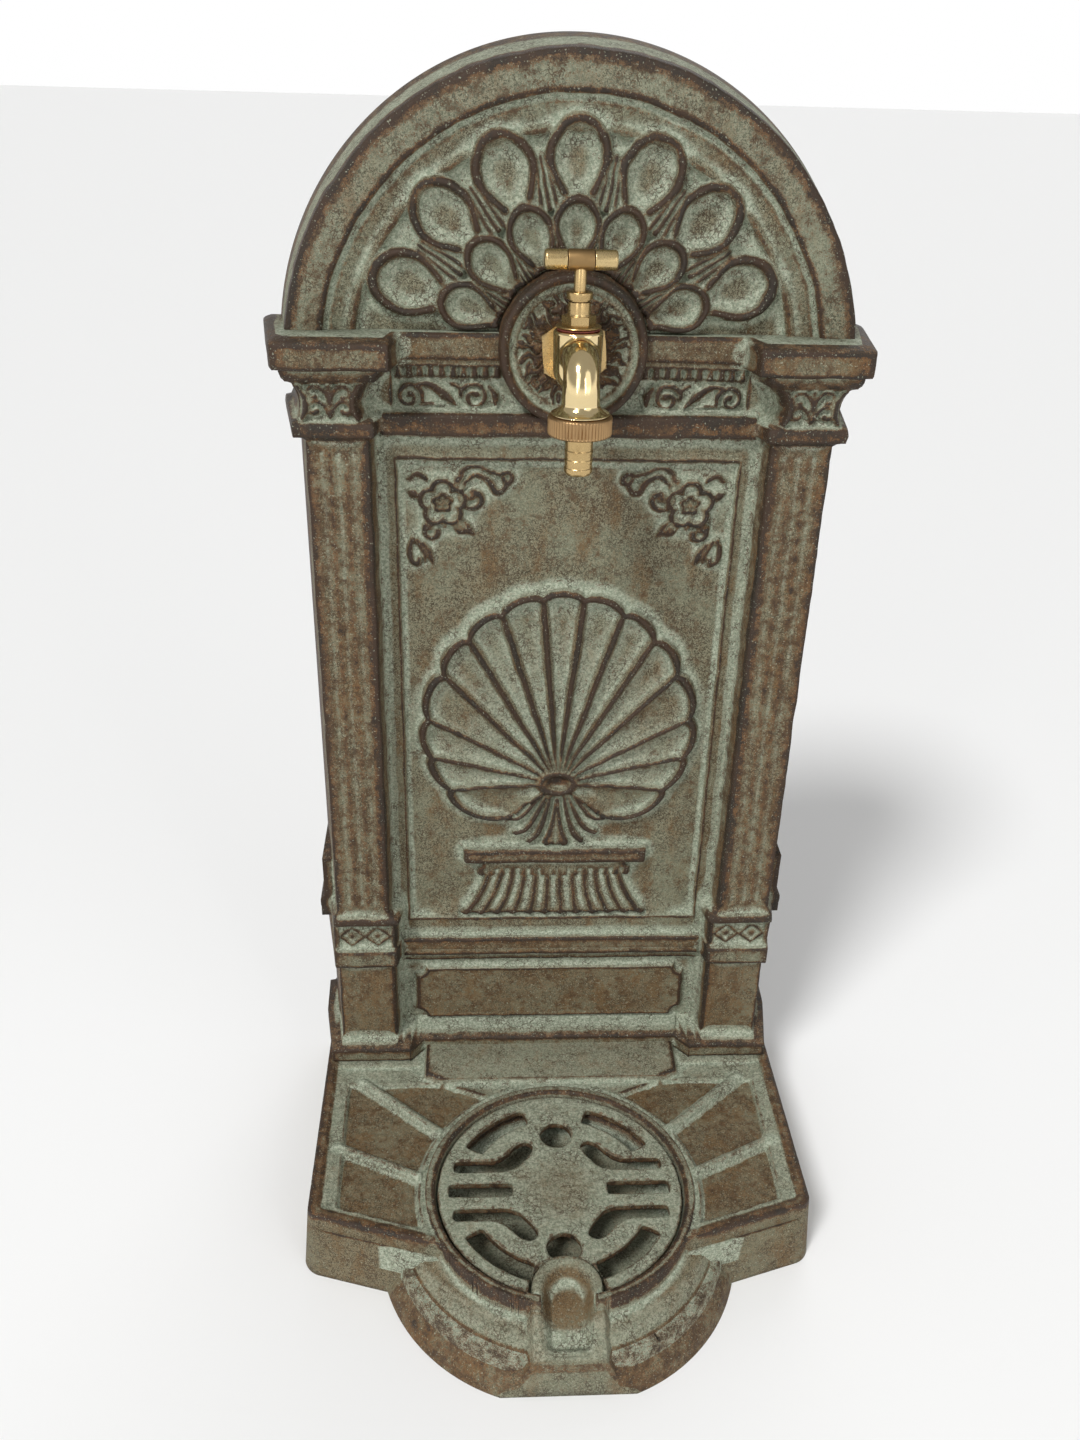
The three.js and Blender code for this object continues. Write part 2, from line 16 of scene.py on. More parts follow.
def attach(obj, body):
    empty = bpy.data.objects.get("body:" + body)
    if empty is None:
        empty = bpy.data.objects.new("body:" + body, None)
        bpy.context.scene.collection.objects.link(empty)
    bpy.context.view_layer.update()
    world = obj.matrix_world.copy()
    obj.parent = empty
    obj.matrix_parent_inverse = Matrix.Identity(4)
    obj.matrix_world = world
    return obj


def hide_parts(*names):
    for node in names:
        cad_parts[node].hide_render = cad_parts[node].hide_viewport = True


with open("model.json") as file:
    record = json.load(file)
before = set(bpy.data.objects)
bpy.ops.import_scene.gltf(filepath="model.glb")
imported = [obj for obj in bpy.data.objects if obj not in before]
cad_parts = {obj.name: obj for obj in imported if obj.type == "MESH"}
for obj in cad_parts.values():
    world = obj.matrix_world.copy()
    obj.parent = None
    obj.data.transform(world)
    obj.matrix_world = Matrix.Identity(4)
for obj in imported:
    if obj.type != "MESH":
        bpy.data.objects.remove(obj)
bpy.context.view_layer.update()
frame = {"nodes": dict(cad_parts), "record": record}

Y_SHIFT = 98.25                          # the frame's origin lies this far in front of the arch plane
DRAFT = 1 / math.tan(math.radians(10))   # how fast a cast side falls away, depth over width
BACK = 48.0                              # depth of the wall plane
CAVITY = 14.0                            # depth of the hollow behind the panel
TAP_Z = 536.5
BONNET_Y = -32.0
SPOUT_Y = -62.0
NOWHERE = -99.0                          # a height below everything, for what isn't there
TINY = 1e-6


# ------------------------------------------------------------------ mesh helpers
def place(points):
    """Millimetre points of this file as metres of the frame."""
    points = np.asarray(points, float)
    return (points + [0.0, Y_SHIFT, 0.0]) / 1000.0


def link(name, data):
    """A new object in the scene."""
    made = bpy.data.objects.new(name, data)
    bpy.context.scene.collection.objects.link(made)
    return made


def make_object(name, points, faces, sharp=None):
    """A smooth-shaded object from points (mm) and faces; edges sharper than sharp degrees stay crisp."""
    mesh = bpy.data.meshes.new(name)
    mesh.from_pydata([tuple(p) for p in place(points)], [], faces)
    mesh.validate()
    piece = link(name, mesh)
    finish_shading(piece, sharp)
    return piece


def finish_shading(piece, sharp=None):
    mesh = piece.data
    work = bmesh.new()
    work.from_mesh(mesh)
    bmesh.ops.recalc_face_normals(work, faces=work.faces)
    limit = math.radians(sharp) if sharp else math.pi
    for face in work.faces:
        face.smooth = True
    for edge in work.edges:
        edge.smooth = not (edge.is_manifold and edge.calc_face_angle(0.0) > limit)
    work.to_mesh(mesh)
    work.free()


def vertex_rows(mesh, what):
    """The vertices' co or normal, one row each."""
    values = np.empty(len(mesh.vertices) * 3)
    mesh.vertices.foreach_get(what, values)
    return values.reshape(-1, 3)


def store(mesh, name, values):
    """Keeps one number per vertex for the materials."""
    numbers = np.ascontiguousarray(values, np.float32)
    mesh.attributes.new(name, "FLOAT", "POINT").data.foreach_set("value", numbers)


def clean_faces(quads):
    """Drops repeated corners, so a quad on a collapsed edge becomes a triangle or nothing."""
    faces = []
    for quad in quads:
        kept = [v for k, v in enumerate(quad) if v != quad[k - 1]]
        if len(kept) > 2:
            faces.append(kept)
    return faces


def grid_index(points):
    """The vertex numbers of a grid of points."""
    rows, columns = points.shape[:2]
    return np.arange(rows * columns).reshape(rows, columns)


def merge_ends(index):
    """Makes the first column one vertex, and the last column another."""
    index[:, 0] = index[0, 0]
    index[:, -1] = index[0, -1]
    return index


def quads_of(index, wrap=False):
    """Quads of a 2-D index array; wrap joins the last column to the first."""
    nxt = np.roll(index, -1, axis=1) if wrap else index[:, 1:]
    now = index if wrap else index[:, :-1]
    stacked = np.stack([now[:-1], nxt[:-1], nxt[1:], now[1:]], axis=-1)
    return stacked.reshape(-1, 4).tolist()


def end_caps(index):
    """One face over the first row and one over the last."""
    return [index[0, ::-1].tolist(), index[-1].tolist()]


def used_only(points, faces):
    """Leaves out the points that no face uses."""
    used = sorted({v for face in faces for v in face})
    renumber = {v: k for k, v in enumerate(used)}
    return points[used], [[renumber[v] for v in face] for face in faces]


def smoothstep(edge0, edge1, x):
    t = np.clip((x - edge0) / (edge1 - edge0), 0, 1)
    return t * t * (3 - 2 * t)


def ridge(distance, half_width):
    """A half-round bar's height, 0 to 1, at a distance from its middle line."""
    return np.sqrt(np.clip(1 - (distance / half_width) ** 2, 0, 1))


def bell(distance, width):
    """A soft swelling, 1 on its middle line."""
    return np.exp(-(distance / width) ** 2)


def lumps(a, b, cell, seed):
    """Smooth noise between -1 and 1 over two coordinates, one random value per cell."""
    size = 256
    table = np.random.RandomState(seed).uniform(-1, 1, (size, size))
    ia, ib = np.floor(a / cell).astype(int), np.floor(b / cell).astype(int)
    ta, tb = a / cell - ia, b / cell - ib
    ta, tb = ta * ta * (3 - 2 * ta), tb * tb * (3 - 2 * tb)
    v00, v10 = table[ia % size, ib % size], table[(ia + 1) % size, ib % size]
    v01, v11 = table[ia % size, (ib + 1) % size], table[(ia + 1) % size, (ib + 1) % size]
    return (v00 * (1 - ta) + v10 * ta) * (1 - tb) + (v01 * (1 - ta) + v11 * ta) * tb


def roughness_of_casting(a, b, seed):
    return 0.16 * lumps(a, b, 9, seed) + 0.10 * lumps(a, b, 4, seed + 1) + 0.07 * lumps(a, b, 2, seed + 2)


def warp(a, b, seed, amount):
    """Points pushed about a little, so that cast ornament isn't drawn with a ruler."""
    push_a = 0.7 * lumps(a, b, 15, seed) + 0.3 * lumps(a, b, 6, seed + 2)
    push_b = 0.7 * lumps(a, b, 15, seed + 1) + 0.3 * lumps(a, b, 6, seed + 3)
    return a + amount * push_a, b + amount * push_b


def lines(low, high, step, edges):
    """Grid lines from low to high, with a close pair of lines on both sides of every edge."""
    pair = (-0.35, 0.35)
    base = np.linspace(low, high, int(round((high - low) / step)) + 1)
    extra = [e + side for e in edges for side in pair if low < e + side < high]
    near = np.array([e + side for e in edges for side in pair])
    kept = [v for v in base if v in (low, high) or np.abs(near - v).min() > 0.3 * step]
    return np.unique(np.round(np.concatenate([kept, extra]), 4))


def spread(values, vertex_a, vertex_b, degree, rounds):
    """Averages a value over neighbouring vertices a number of times."""
    for _ in range(rounds):
        total = np.bincount(vertex_a, values[vertex_b], len(values))
        total += np.bincount(vertex_b, values[vertex_a], len(values))
        values = 0.5 * values + 0.5 * total / degree
    return values


def mark_relief(piece, keep=None, fine_rounds=6, broad_rounds=60):
    """Stores how far each vertex stands above its surroundings: relief_fine and relief_broad, in mm."""
    mesh = piece.data
    count = len(mesh.vertices)
    points = vertex_rows(mesh, "co") * 1000
    normals = vertex_rows(mesh, "normal")
    ends = np.empty(len(mesh.edges) * 2, int)
    mesh.edges.foreach_get("vertices", ends)
    a, b = ends[0::2], ends[1::2]
    degree = np.maximum(np.bincount(a, minlength=count) + np.bincount(b, minlength=count), 1)
    smooth = points
    for name, rounds in (("relief_fine", fine_rounds), ("relief_broad", broad_rounds - fine_rounds)):
        smooth = np.stack([spread(smooth[:, k].copy(), a, b, degree, rounds) for k in range(3)], axis=1)
        height = ((points - smooth) * normals).sum(axis=1)
        height = spread(height, a, b, degree, 2)
        if keep:
            height = height * keep(np.abs(points[:, 0]), points[:, 1] - Y_SHIFT, points[:, 2])
        store(mesh, name, height)


# ------------------------------------------------------------------ ornament on a height map
class Ground:
    """A height map: ax is the distance from the middle line, z the height, h the relief."""

    def __init__(self, ax, z, h):
        self.ax, self.z, self.h = ax, z, h

    def raise_to(self, height):
        self.h = np.maximum(self.h, height)

    def fill(self, mask, height):
        """Raises the relief to a height where the mask is true."""
        self.h = np.where(mask, np.maximum(self.h, height), self.h)

    def between(self, low, high, half):
        """True across the middle, between two heights."""
        return (self.z > low) & (self.z < high) & (self.ax < half)

    def bar(self, points, widths, base, lift, steps=14):
        """A half-round bar along a curve through points, with a half-width at each point."""
        path, width = smooth_path(points, widths, steps)
        above = self.z.max(axis=1) > path[:, 1].min() - width.max()
        below = self.z.min(axis=1) < path[:, 1].max() + width.max()
        rows = np.flatnonzero(above & below)
        if not len(rows):
            return
        part = slice(rows[0], rows[-1] + 1)
        ax, z = self.ax[part], self.z[part]
        best = np.full(ax.shape, 9.0)
        for (px, pz), w in zip(path, width):
            best = np.minimum(best, ((ax - px) ** 2 + (z - pz) ** 2) / w ** 2)
        lifted = base + lift * np.sqrt(np.clip(1 - best, 0, 1))
        self.h[part] = np.where(best < 1, np.maximum(self.h[part], lifted), self.h[part])

    def groove(self, points, width, depth, steps=14):
        path, _ = smooth_path(points, [width] * len(points), steps)
        best = np.full(self.ax.shape, 1e9)
        for px, pz in path:
            best = np.minimum(best, (self.ax - px) ** 2 + (self.z - pz) ** 2)
        self.h = self.h - depth * np.exp(-best / width ** 2)


def smooth_path(points, widths, steps):
    """Catmull-Rom curve through the points, and the widths along it."""
    p = np.array(points, float)
    w = np.array(widths, float)
    p = np.vstack([2 * p[0] - p[1], p, 2 * p[-1] - p[-2]])
    t = np.linspace(0, 1, steps, endpoint=False)[:, None]
    pieces, sizes = [], []
    for k in range(1, len(p) - 2):
        a, b, c, d = p[k - 1], p[k], p[k + 1], p[k + 2]
        square, cube = 2 * a - 5 * b + 4 * c - d, 3 * b - a - 3 * c + d
        pieces.append(0.5 * (2 * b + (c - a) * t + square * t ** 2 + cube * t ** 3))
        sizes.append(w[k - 1] + (w[k] - w[k - 1]) * t[:, 0])
    return np.vstack(pieces + [p[-2:-1]]), np.concatenate(sizes + [w[-1:]])


def spiral(cx, cz, start_radius, end_radius, start_angle, turns, count=14):
    """Points on a spiral about a centre; angles in degrees, anticlockwise positive."""
    angle = np.radians(start_angle) + np.linspace(0, 2 * math.pi * turns, count)
    radius = np.linspace(start_radius, end_radius, count)
    return [(cx + r * math.cos(t), cz + r * math.sin(t)) for r, t in zip(radius, angle)]


# ------------------------------------------------------------------ panel body below the arch
# pilaster profile: height, relief, inner and outer half-distance from the middle line
PILASTER = [
    (49.3, 26.0, 99.0, 153.0), (50.5, 27.0, 99.0, 153.5), (59.5, 27.0, 99.0, 153.5),
    (61.0, 25.5, 99.5, 153.0), (61.3, 16.0, 107.5, 147.5), (63.0, 15.0, 108.5, 146.5),
    (126.5, 15.0, 108.5, 146.5), (127.0, 19.0, 106.5, 148.5), (128.5, 20.0, 106.0, 148.5),
    (139.5, 20.0, 106.0, 148.5), (141.0, 19.0, 106.5, 148.2), (141.5, 16.5, 107.0, 148.0),
    (161.0, 16.5, 107.0, 148.0), (161.5, 18.5, 105.5, 147.5), (163.0, 20.5, 104.8, 147.5),
    (165.5, 21.2, 104.5, 147.5), (168.0, 20.5, 104.8, 147.5), (169.5, 18.0, 106.5, 147.0),
    (172.0, 17.0, 111.0, 145.0), (489.0, 17.0, 111.0, 145.0), (491.0, 19.5, 109.5, 148.0),
    (491.6, 21.5, 108.0, 151.5), (495.5, 22.3, 107.5, 152.0), (499.3, 21.5, 108.0, 151.5),
    (500.0, 17.0, 112.5, 149.0), (503.0, 15.5, 114.5, 147.8), (509.0, 15.5, 115.5, 147.0),
    (515.0, 16.5, 114.0, 148.0), (520.5, 18.5, 111.5, 150.5), (521.3, 20.5, 106.5, 154.0),
    (523.5, 22.5, 105.0, 155.2), (526.0, 24.0, 104.0, 156.0), (527.8, 24.5, 104.0, 156.0),
    (528.2, 27.0, 98.5, 159.6), (529.5, 28.0, 98.0, 160.0), (541.3, 28.0, 98.0, 160.0),
    (542.6, 26.8, 98.6, 159.6), (543.2, 23.0, 100.0, 158.0), (544.0, 18.0, 101.0, 157.0),
]
PANEL_LOW, PANEL_HIGH = 49.3, 544.0
BODY_HALF = 148.0
GRID_HALF = 144.5                        # half-width of the even grid; denser columns follow outside
FIELD_HALF, FIELD_LOW, FIELD_HIGH = 97.8, 154.5, 475.0
FIELD_H, FRIEZE_H = -4.0, -5.0
HUB_Z = 262.0                            # height of the shell's hub
HUB_HALF = (13.0, 9.0)                   # its half-width and half-height
FLOOR_PLATE = 57.3                       # the base plate's top, behind the panel
COLUMN_EDGES = [98.0, 104.0, 108.5, 111.0, 145.0, 94.3, 87.0, 90.0, 99.0, 153.5]
ROW_EDGES = [61.2, 67, 111, 117, 126.8, 141.2, 154.5, 161.3, 169.5, 201, 212.5, 475, 489.2, 491.3, 499.7,
             502, 519, 527, 530, 528.0, 521.0]


def pilaster_height(ax, z):
    heights, relief, inner, outer = np.array(PILASTER).T
    front = np.interp(z, heights, relief)
    left = np.interp(z, heights, inner)
    right = np.interp(z, heights, outer)
    return front - DRAFT * np.maximum(0, np.maximum(left - ax, ax - right))


def outline_half(z):
    """Half-width of the panel where its drafted side meets the wall plane."""
    plinth_top, plinth_half, cornice_half = 61.3, 162.5, 175.9
    heights, relief, _, outer = np.array(PILASTER).T
    reach = np.interp(z, heights, outer) + (np.interp(z, heights, relief) + BACK) / DRAFT
    plain = BODY_HALF + BACK / DRAFT
    return np.clip(np.maximum(reach, plain), 0, np.where(z < plinth_top, plinth_half, cornice_half))


def outside_box(g, half, low, high):
    """Distance outwards from a rectangle across the middle, negative inside it."""
    return np.maximum(g.ax - half, np.maximum(low - g.z, g.z - high))


def block(g, half, low, high, top):
    """A raised rectangle across the middle with drafted, slightly rounded edges."""
    d = outside_box(g, half, low, high)
    g.raise_to(top - DRAFT * np.maximum(0, d) - 0.35 * smoothstep(-0.8, 0.3, d))


def sink(g, half, low, high, depth, slope=2.5):
    """A sunk rectangle across the middle with sloping sides."""
    d = outside_box(g, half, low, high)
    g.h = np.where(d < 0, np.maximum(depth, g.h + slope * d), g.h)


def shell(g, base):
    """Scallop shell: concave lobes between thin ridges, with a thick rim and a hollow hub."""
    x, z = g.ax, g.z - HUB_Z
    angle = np.degrees(np.arctan2(x, z))
    radius = np.hypot(x, z)
    # ridge lines: angle from upright, distance of the notch from the hub; the top lobe straddles the middle
    notch_angle = np.array([-5.6, 5.6, 17.4, 29.3, 43.1, 60.5, 76.8, 94.2, 131.0])
    notch_reach = np.array([130.0, 130.0, 125.0, 117.0, 107.0, 96.0, 84.0, 70.0, 38.0])
    bulge = np.array([5.0, 5.5, 6.0, 6.5, 6.5, 5.5, 5.0, 9.0])
    lobe = np.clip(np.searchsorted(notch_angle, angle) - 1, 0, len(bulge) - 1)
    start, end = notch_angle[lobe], notch_angle[lobe + 1]
    s = np.clip((angle - start) / (end - start), 0, 1)
    swelling = bulge[lobe] * np.sqrt(np.clip(1 - (2 * s - 1) ** 2, 0, 1))
    rim = notch_reach[lobe] * (1 - s) + notch_reach[lobe + 1] * s + swelling
    inside = (angle < notch_angle[-1]) & (radius < rim)
    across = np.radians(np.minimum(s, 1 - s) * (end - start)) * radius
    lobe_half = np.radians((end - start) / 2) * radius
    ridge_half = 1.1 + 1.7 * np.clip(radius / 110, 0, 1)
    depth = (1 - across / np.maximum(lobe_half, 0.1)) ** 2
    hollow = 0.8 + 3.0 * depth - 1.0 * smoothstep(20, 100, radius)
    side = 5.8 * bell(across, ridge_half)
    edge = 7.0 * ridge(rim - radius - 3.0, 3.4)
    height = base + np.maximum(np.maximum(hollow, side), edge)
    g.fill(inside, height + 0.8 * smoothstep(0, 1, 1 - radius / 60))
    # soft swell of the ground around the rim
    near = np.where(inside, 0, np.clip(radius - rim, 0, 30))
    g.h = g.h + np.where((angle < 128) & ~inside, 1.1 * bell(near, 2.2), 0)
    oval = np.hypot(x / HUB_HALF[0], z / HUB_HALF[1])
    g.fill(oval < 1.25, base + 6.8 - 3.2 * np.clip(oval - 0.8, 0, 1) ** 2 * 8)
    g.h = g.h - 5.5 * (1 - smoothstep(0.25, 0.8, oval))


def stem_and_bell(g, base):
    """Fluted stem under the shell, the slab it stands on and the fluted bell below."""
    stem_low, stem_high = 213.0, 256.0
    for points in ([(8.0, 256.0), (17.5, 243.0), (24.5, 235.0), (32.0, 234.5)],
                   [(5.8, 256.0), (12.5, 239.0), (19.0, 227.0), (26.0, 223.0)],
                   [(3.6, 256.0), (7.5, 237.0), (11.5, 223.0), (17.0, 216.5)]):
        g.bar(points, [1.5, 2.1, 2.5, 2.2], base, 5.0)
    half = 2.0 + 8.5 * np.clip((stem_high - g.z) / (stem_high - stem_low), 0, 1) ** 2.2
    scallop = 1.2 * np.abs(np.sin(g.ax * 0.55))
    skirt = g.between(stem_low + scallop, stem_high, half)
    g.fill(skirt, base + 4.4 * smoothstep(0, 1.4, half - g.ax) - 1.4 * bell(g.ax, 0.9))
    block(g, 60.5, 202.0, 211.5, base + 8.5)
    bell_low, bell_high = 158.0, 202.0
    t = np.clip((bell_high - g.z) / (bell_high - bell_low), 0, 1)
    half = 47.0 + 19.0 * t ** 2.2
    flute = np.abs(np.cos(np.pi * 6.0 * np.clip(g.ax / half, 0, 1)))
    fall = smoothstep(0, 3.0, half - g.ax)
    g.fill(g.between(bell_low, bell_high, half), base + fall * (2.0 + 2.6 * (1 - flute) + 2.0 * t))
    block(g, 48.5, 195.0, 201.5, base + 4.5)
    # teeth under the slab
    tooth = ridge(np.mod(g.ax + 3.5, 7.0) - 3.5, 2.6)
    g.fill(g.between(189, 196.5, 52), base + 1.5 + 3.2 * tooth)
    # ground rising in a hollow curve to the frame beside the bell
    reach = np.clip(g.ax - half, 0, 60)
    ramp_up = 4.6 * np.exp(-(g.z - FIELD_LOW) / 6.5) * np.exp(-np.clip(reach - 8, 0, 60) / 12.0)
    g.fill((g.z > FIELD_LOW) & (g.z < bell_high) & (g.ax > half - 1), base + ramp_up)


def corner_flower(g, base):
    """Five-petalled flower with scrolls and leaves in the upper corner of the field."""
    cx, cz = 71.6, 449.0
    for turn_out in (20, 125, 165, 235, 300):
        a = math.radians(turn_out)
        px, pz = cx + 17.0 * math.cos(a), cz + 16.0 * math.sin(a)
        dx, dz = 4 * math.cos(a), 4 * math.sin(a)
        g.bar([(px - dx, pz - dz), (px + math.sin(a), pz), (px + dx, pz + dz)], [2.6, 3.4, 0.8], base, 3.4)
    for k in range(5):
        a = math.radians(90 + 72 * k)
        dx, dz = g.ax - cx - 8.6 * math.cos(a), g.z - cz - 8.6 * math.sin(a)
        out, side = dx * math.cos(a) + dz * math.sin(a), dz * math.cos(a) - dx * math.sin(a)
        q = np.hypot(out / 6.4, side / 7.2)
        g.fill(q < 1.02, base + 1.2 + 4.0 * bell(q - 0.78, 0.21) * smoothstep(-5.5, 2.0, out))
    q = np.hypot(g.ax - cx, g.z - cz)
    rosette = 6.0 + 1.0 * np.cos(5 * (np.arctan2(g.z - cz, g.ax - cx) - math.pi / 2))
    g.h = np.where(q < rosette, base + 1.6 + 3.0 * bell(q - rosette + 1.5, 0.9), g.h)
    g.raise_to(np.where(q < 2.3, base + 3.6, NOWHERE))
    g.h = g.h - 1.6 * bell(q, 0.9)
    # scroll towards the middle, then the scroll going down
    inward = [1.2, 1.6, 1.8, 1.9, 2.0, 2.0, 2.0, 2.0, 2.1, 2.2, 2.3, 2.4, 2.6, 2.8]
    g.bar(spiral(54.5, 452.0, 8.0, 3.0, 60, -1.05), inward, base, 3.2, 5)
    downward = [1.2, 1.5, 1.8, 1.9, 2.0, 2.0, 2.0, 2.0, 2.1, 2.1, 2.2, 2.3, 2.5, 2.7]
    g.bar(spiral(77.5, 431.5, 7.6, 2.6, 160, -0.95), downward, base, 3.2, 5)
    leaves = (
        ([(60, 459.5), (53, 465.5), (46, 462.5), (41, 456.0), (36.5, 457.5), (33.0, 463.5)],
         [1.3, 2.0, 2.6, 2.6, 1.9, 1.0], 3.2),
        ([(47, 468), (40, 466), (34.5, 467.0), (31.5, 463.2), (34.8, 460.5), (36.8, 463.4)],
         [1.0, 1.5, 1.7, 1.7, 1.6, 1.9], 3.4),
        ([(62, 466), (56, 470.5), (49, 469.5), (44, 466)], [1.0, 1.9, 1.9, 0.9], 2.8),
        ([(64, 440), (59, 434.5), (54.0, 429.5)], [3.6, 3.8, 0.6], 3.2),
        ([(66, 437), (61.5, 431.5), (56.5, 431)], [2.6, 2.4, 0.6], 2.6),
        ([(84, 424), (80.5, 418), (77.5, 412.0)], [2.4, 2.9, 0.6], 3.0),
        ([(87, 426), (83.5, 419.5), (82.5, 413)], [2.0, 2.2, 0.6], 2.6),
        ([(89.5, 428), (91.5, 421), (91.0, 414.5), (87.5, 411.8), (86.0, 415.0)],
         [1.0, 1.7, 1.9, 1.9, 2.1], 3.2),
        ([(80, 462), (86, 466), (91, 462)], [1.0, 2.0, 1.0], 2.6),
    )
    for points, widths, lift in leaves:
        g.bar(points, widths, base, lift)
    g.groove([(65, 441), (60, 435.5), (55, 430.5)], 0.8, 1.3)
    g.groove([(85, 424.5), (81, 418.5), (78.5, 413.5)], 0.7, 1.1)


def frieze(g, base):
    """Tongues and running scrolls beside the roundel."""
    scroll = [1.2] + [1.7] * 12 + [2.6]
    g.bar(spiral(89.5, 509.6, 7.8, 2.0, 200, -1.25), scroll, base, 4.2, 5)
    g.bar([(85.5, 516.2), (78.0, 515.8), (70.5, 511.0), (63.0, 504.0)], [1.4, 2.4, 3.0, 0.9], base, 4.0)
    g.groove([(82.0, 515.2), (75.0, 513.4), (68.0, 508.0)], 0.7, 1.2)
    g.bar([(84.0, 505.5), (77.0, 505.5), (70.5, 504.5)], [0.8, 1.7, 0.7], base, 3.2)
    g.bar(spiral(53.8, 509.6, 8.0, 2.0, 10, 1.35), scroll, base, 4.2, 5)
    g.bar([(61.2, 510.0), (62.0, 514.5), (66.5, 516.8)], [1.2, 1.4, 0.7], base, 3.4)
    g.bar([(46.0, 515.5), (42.5, 510.0), (42.0, 504.0)], [1.0, 2.6, 1.4], base, 3.4)
    tongue_low, tongue_high = 518.6, 527.4
    tongue = ridge(np.mod(g.ax - 50.0, 6.0) - 3.0, 2.5)
    drop = smoothstep(tongue_low, 521.2, g.z - 0.25 * (1 - tongue))
    g.fill(g.between(tongue_low, tongue_high, 97.5) & (g.ax > 38), base + 5.0 * tongue * drop)
    g.fill(g.between(526.6, 530, 97.5), 0.6)


def capital(g):
    """Leaf ornament on the bell of the capital and crescent volutes at its sides."""
    base, middle = 15.2, 131.0
    bell_face = (g.z > 502) & (g.z < 519.5) & (np.abs(g.ax - middle) < 12.5)
    g.h = np.where(bell_face, np.minimum(g.h, base), g.h)
    low_leaf = [(0.8, 503.2), (4.2, 509.4), (8.6, 510.8), (11.4, 507.4), (9.4, 504.2), (6.8, 505.6)]
    high_leaf = [(0.8, 508.6), (1.8, 514.6), (6.0, 518.8), (10.8, 517.2), (10.6, 513.2), (7.6, 513.2)]
    crescent = [(15.0, 501.2), (12.9, 506.0), (13.0, 513.0), (16.2, 519.2)]
    for side in (-1, 1):
        for points, widths, lift in ((low_leaf, [1.2, 1.5, 1.6, 1.7, 1.9, 2.0], 3.8),
                                     (high_leaf, [1.2, 1.5, 1.7, 1.8, 1.9, 2.1], 3.8),
                                     (crescent, [1.5, 2.0, 2.0, 1.5], 5.6)):
            g.bar([(middle + side * px, pz) for px, pz in points], widths, base, lift)
    g.bar([(middle, 502.6), (middle, 510.0), (middle, 519.0)], [1.8, 1.3, 2.4], base, 3.6)


def shafts(g):
    """Three shallow flutes on each shaft and a lozenge band on each pedestal."""
    flute_middle, flute_half = 330.5, 151.0
    for x in (119.5, 128.0, 136.5):
        d = np.hypot(g.ax - x, np.clip(np.abs(g.z - flute_middle) - flute_half, 0, 99))
        g.h = g.h - 0.9 * (1 - smoothstep(0.6, 3.6, d))
    left, pitch = 110.0, 17.5
    band = (g.z > 143.0) & (g.z < 160.0) & (g.ax > left) & (g.ax < left + 2 * pitch)
    g.h = np.where(band, g.h - 1.6, g.h)
    u = np.mod(g.ax - left, pitch) / pitch * 2 - 1
    v = (g.z - 151.5) / 8.0
    cross = np.abs(np.abs(u) + np.abs(v) - 0.95)
    centre = np.hypot(u * 1.1, v)
    g.h = np.where(band, g.h + 2.3 * bell(cross, 0.13) + 1.4 * bell(centre, 0.3), g.h)


def low_plate(g):
    """The plain plate between the pedestals, with its notched corners and bead."""
    half, low, high = 94.3, 67, 111
    notch = np.hypot(g.ax - half, np.minimum(np.abs(g.z - low), np.abs(g.z - high)))
    plate = np.minimum(-outside_box(g, half, low, high), notch - 7.0)
    top = 1.0 + 2.6 * np.minimum(plate, 0) + 0.9 * bell(plate - 1.2, 0.8)
    g.raise_to(np.where(plate > -1.2, top, NOWHERE))


def panel_height(x, z):
    """Relief of the panel below the arch."""
    ax = np.abs(x)
    g = Ground(ax, z, -DRAFT * np.maximum(0, ax - BODY_HALF))
    sink(g, FIELD_HALF, FIELD_LOW, FIELD_HIGH, FIELD_H)
    border = np.abs(outside_box(g, FIELD_HALF, FIELD_LOW, FIELD_HIGH) - 0.6)
    g.h = g.h + np.where(ax < 104, 0.9 * bell(border, 0.9), 0)
    inner = outside_box(g, 92.5, 161.0, 469.5)
    g.h = g.h + np.where(g.between(156, 474, 97), 0.5 * bell(inner, 0.7), 0)
    sink(g, 103.5, 61.0, 118.0, -3.0)
    low_plate(g)
    block(g, 102.5, 126.5, 140.5, 6.0)
    g.h = g.h - 0.8 * bell(z - 131.0, 0.8) * (ax < 102)
    sink(g, 99.0, 502.3, 529.6, FRIEZE_H, 6)
    frieze(g, FRIEZE_H)
    block(g, 104.5, 489.4, 501.2, 6.0)
    block(g, 99.0, 530.2, 543.6, 2.0)
    plinth_half, plinth_top, plinth_h = 90.0, 60.6, 16.0
    block(g, plinth_half, 49.0, plinth_top, plinth_h)
    ramp_out = plinth_h + 11 * (ax - plinth_half) / 9
    g.fill((ax >= plinth_half) & (ax < 99.5) & (z < plinth_top), ramp_out)
    shell(g, FIELD_H)
    stem_and_bell(g, FIELD_H)
    corner_flower(g, FIELD_H)
    g.raise_to(pilaster_height(ax, z))
    capital(g)
    shafts(g)
    return np.maximum(g.h + roughness_of_casting(x, z, 11), -BACK)


def back_sections(front, inner_half):
    """The back of the panel behind rows of front points: wall rim, side of the hollow, hollow."""
    z = front[:, 0, 2]
    floor_plate = z < FLOOR_PLATE
    depth = np.where(floor_plate, BACK, CAVITY)
    foot = inner_half - (BACK - CAVITY) / DRAFT * np.where(floor_plate, 0, 1)
    rim, wall = inner_half + 0 * z, BACK + 0 * z
    columns = [(rim, wall), (foot, depth), (-foot, depth), (-rim, wall)]
    return np.stack([np.stack([x, y, z], axis=1) for x, y in columns], axis=1)


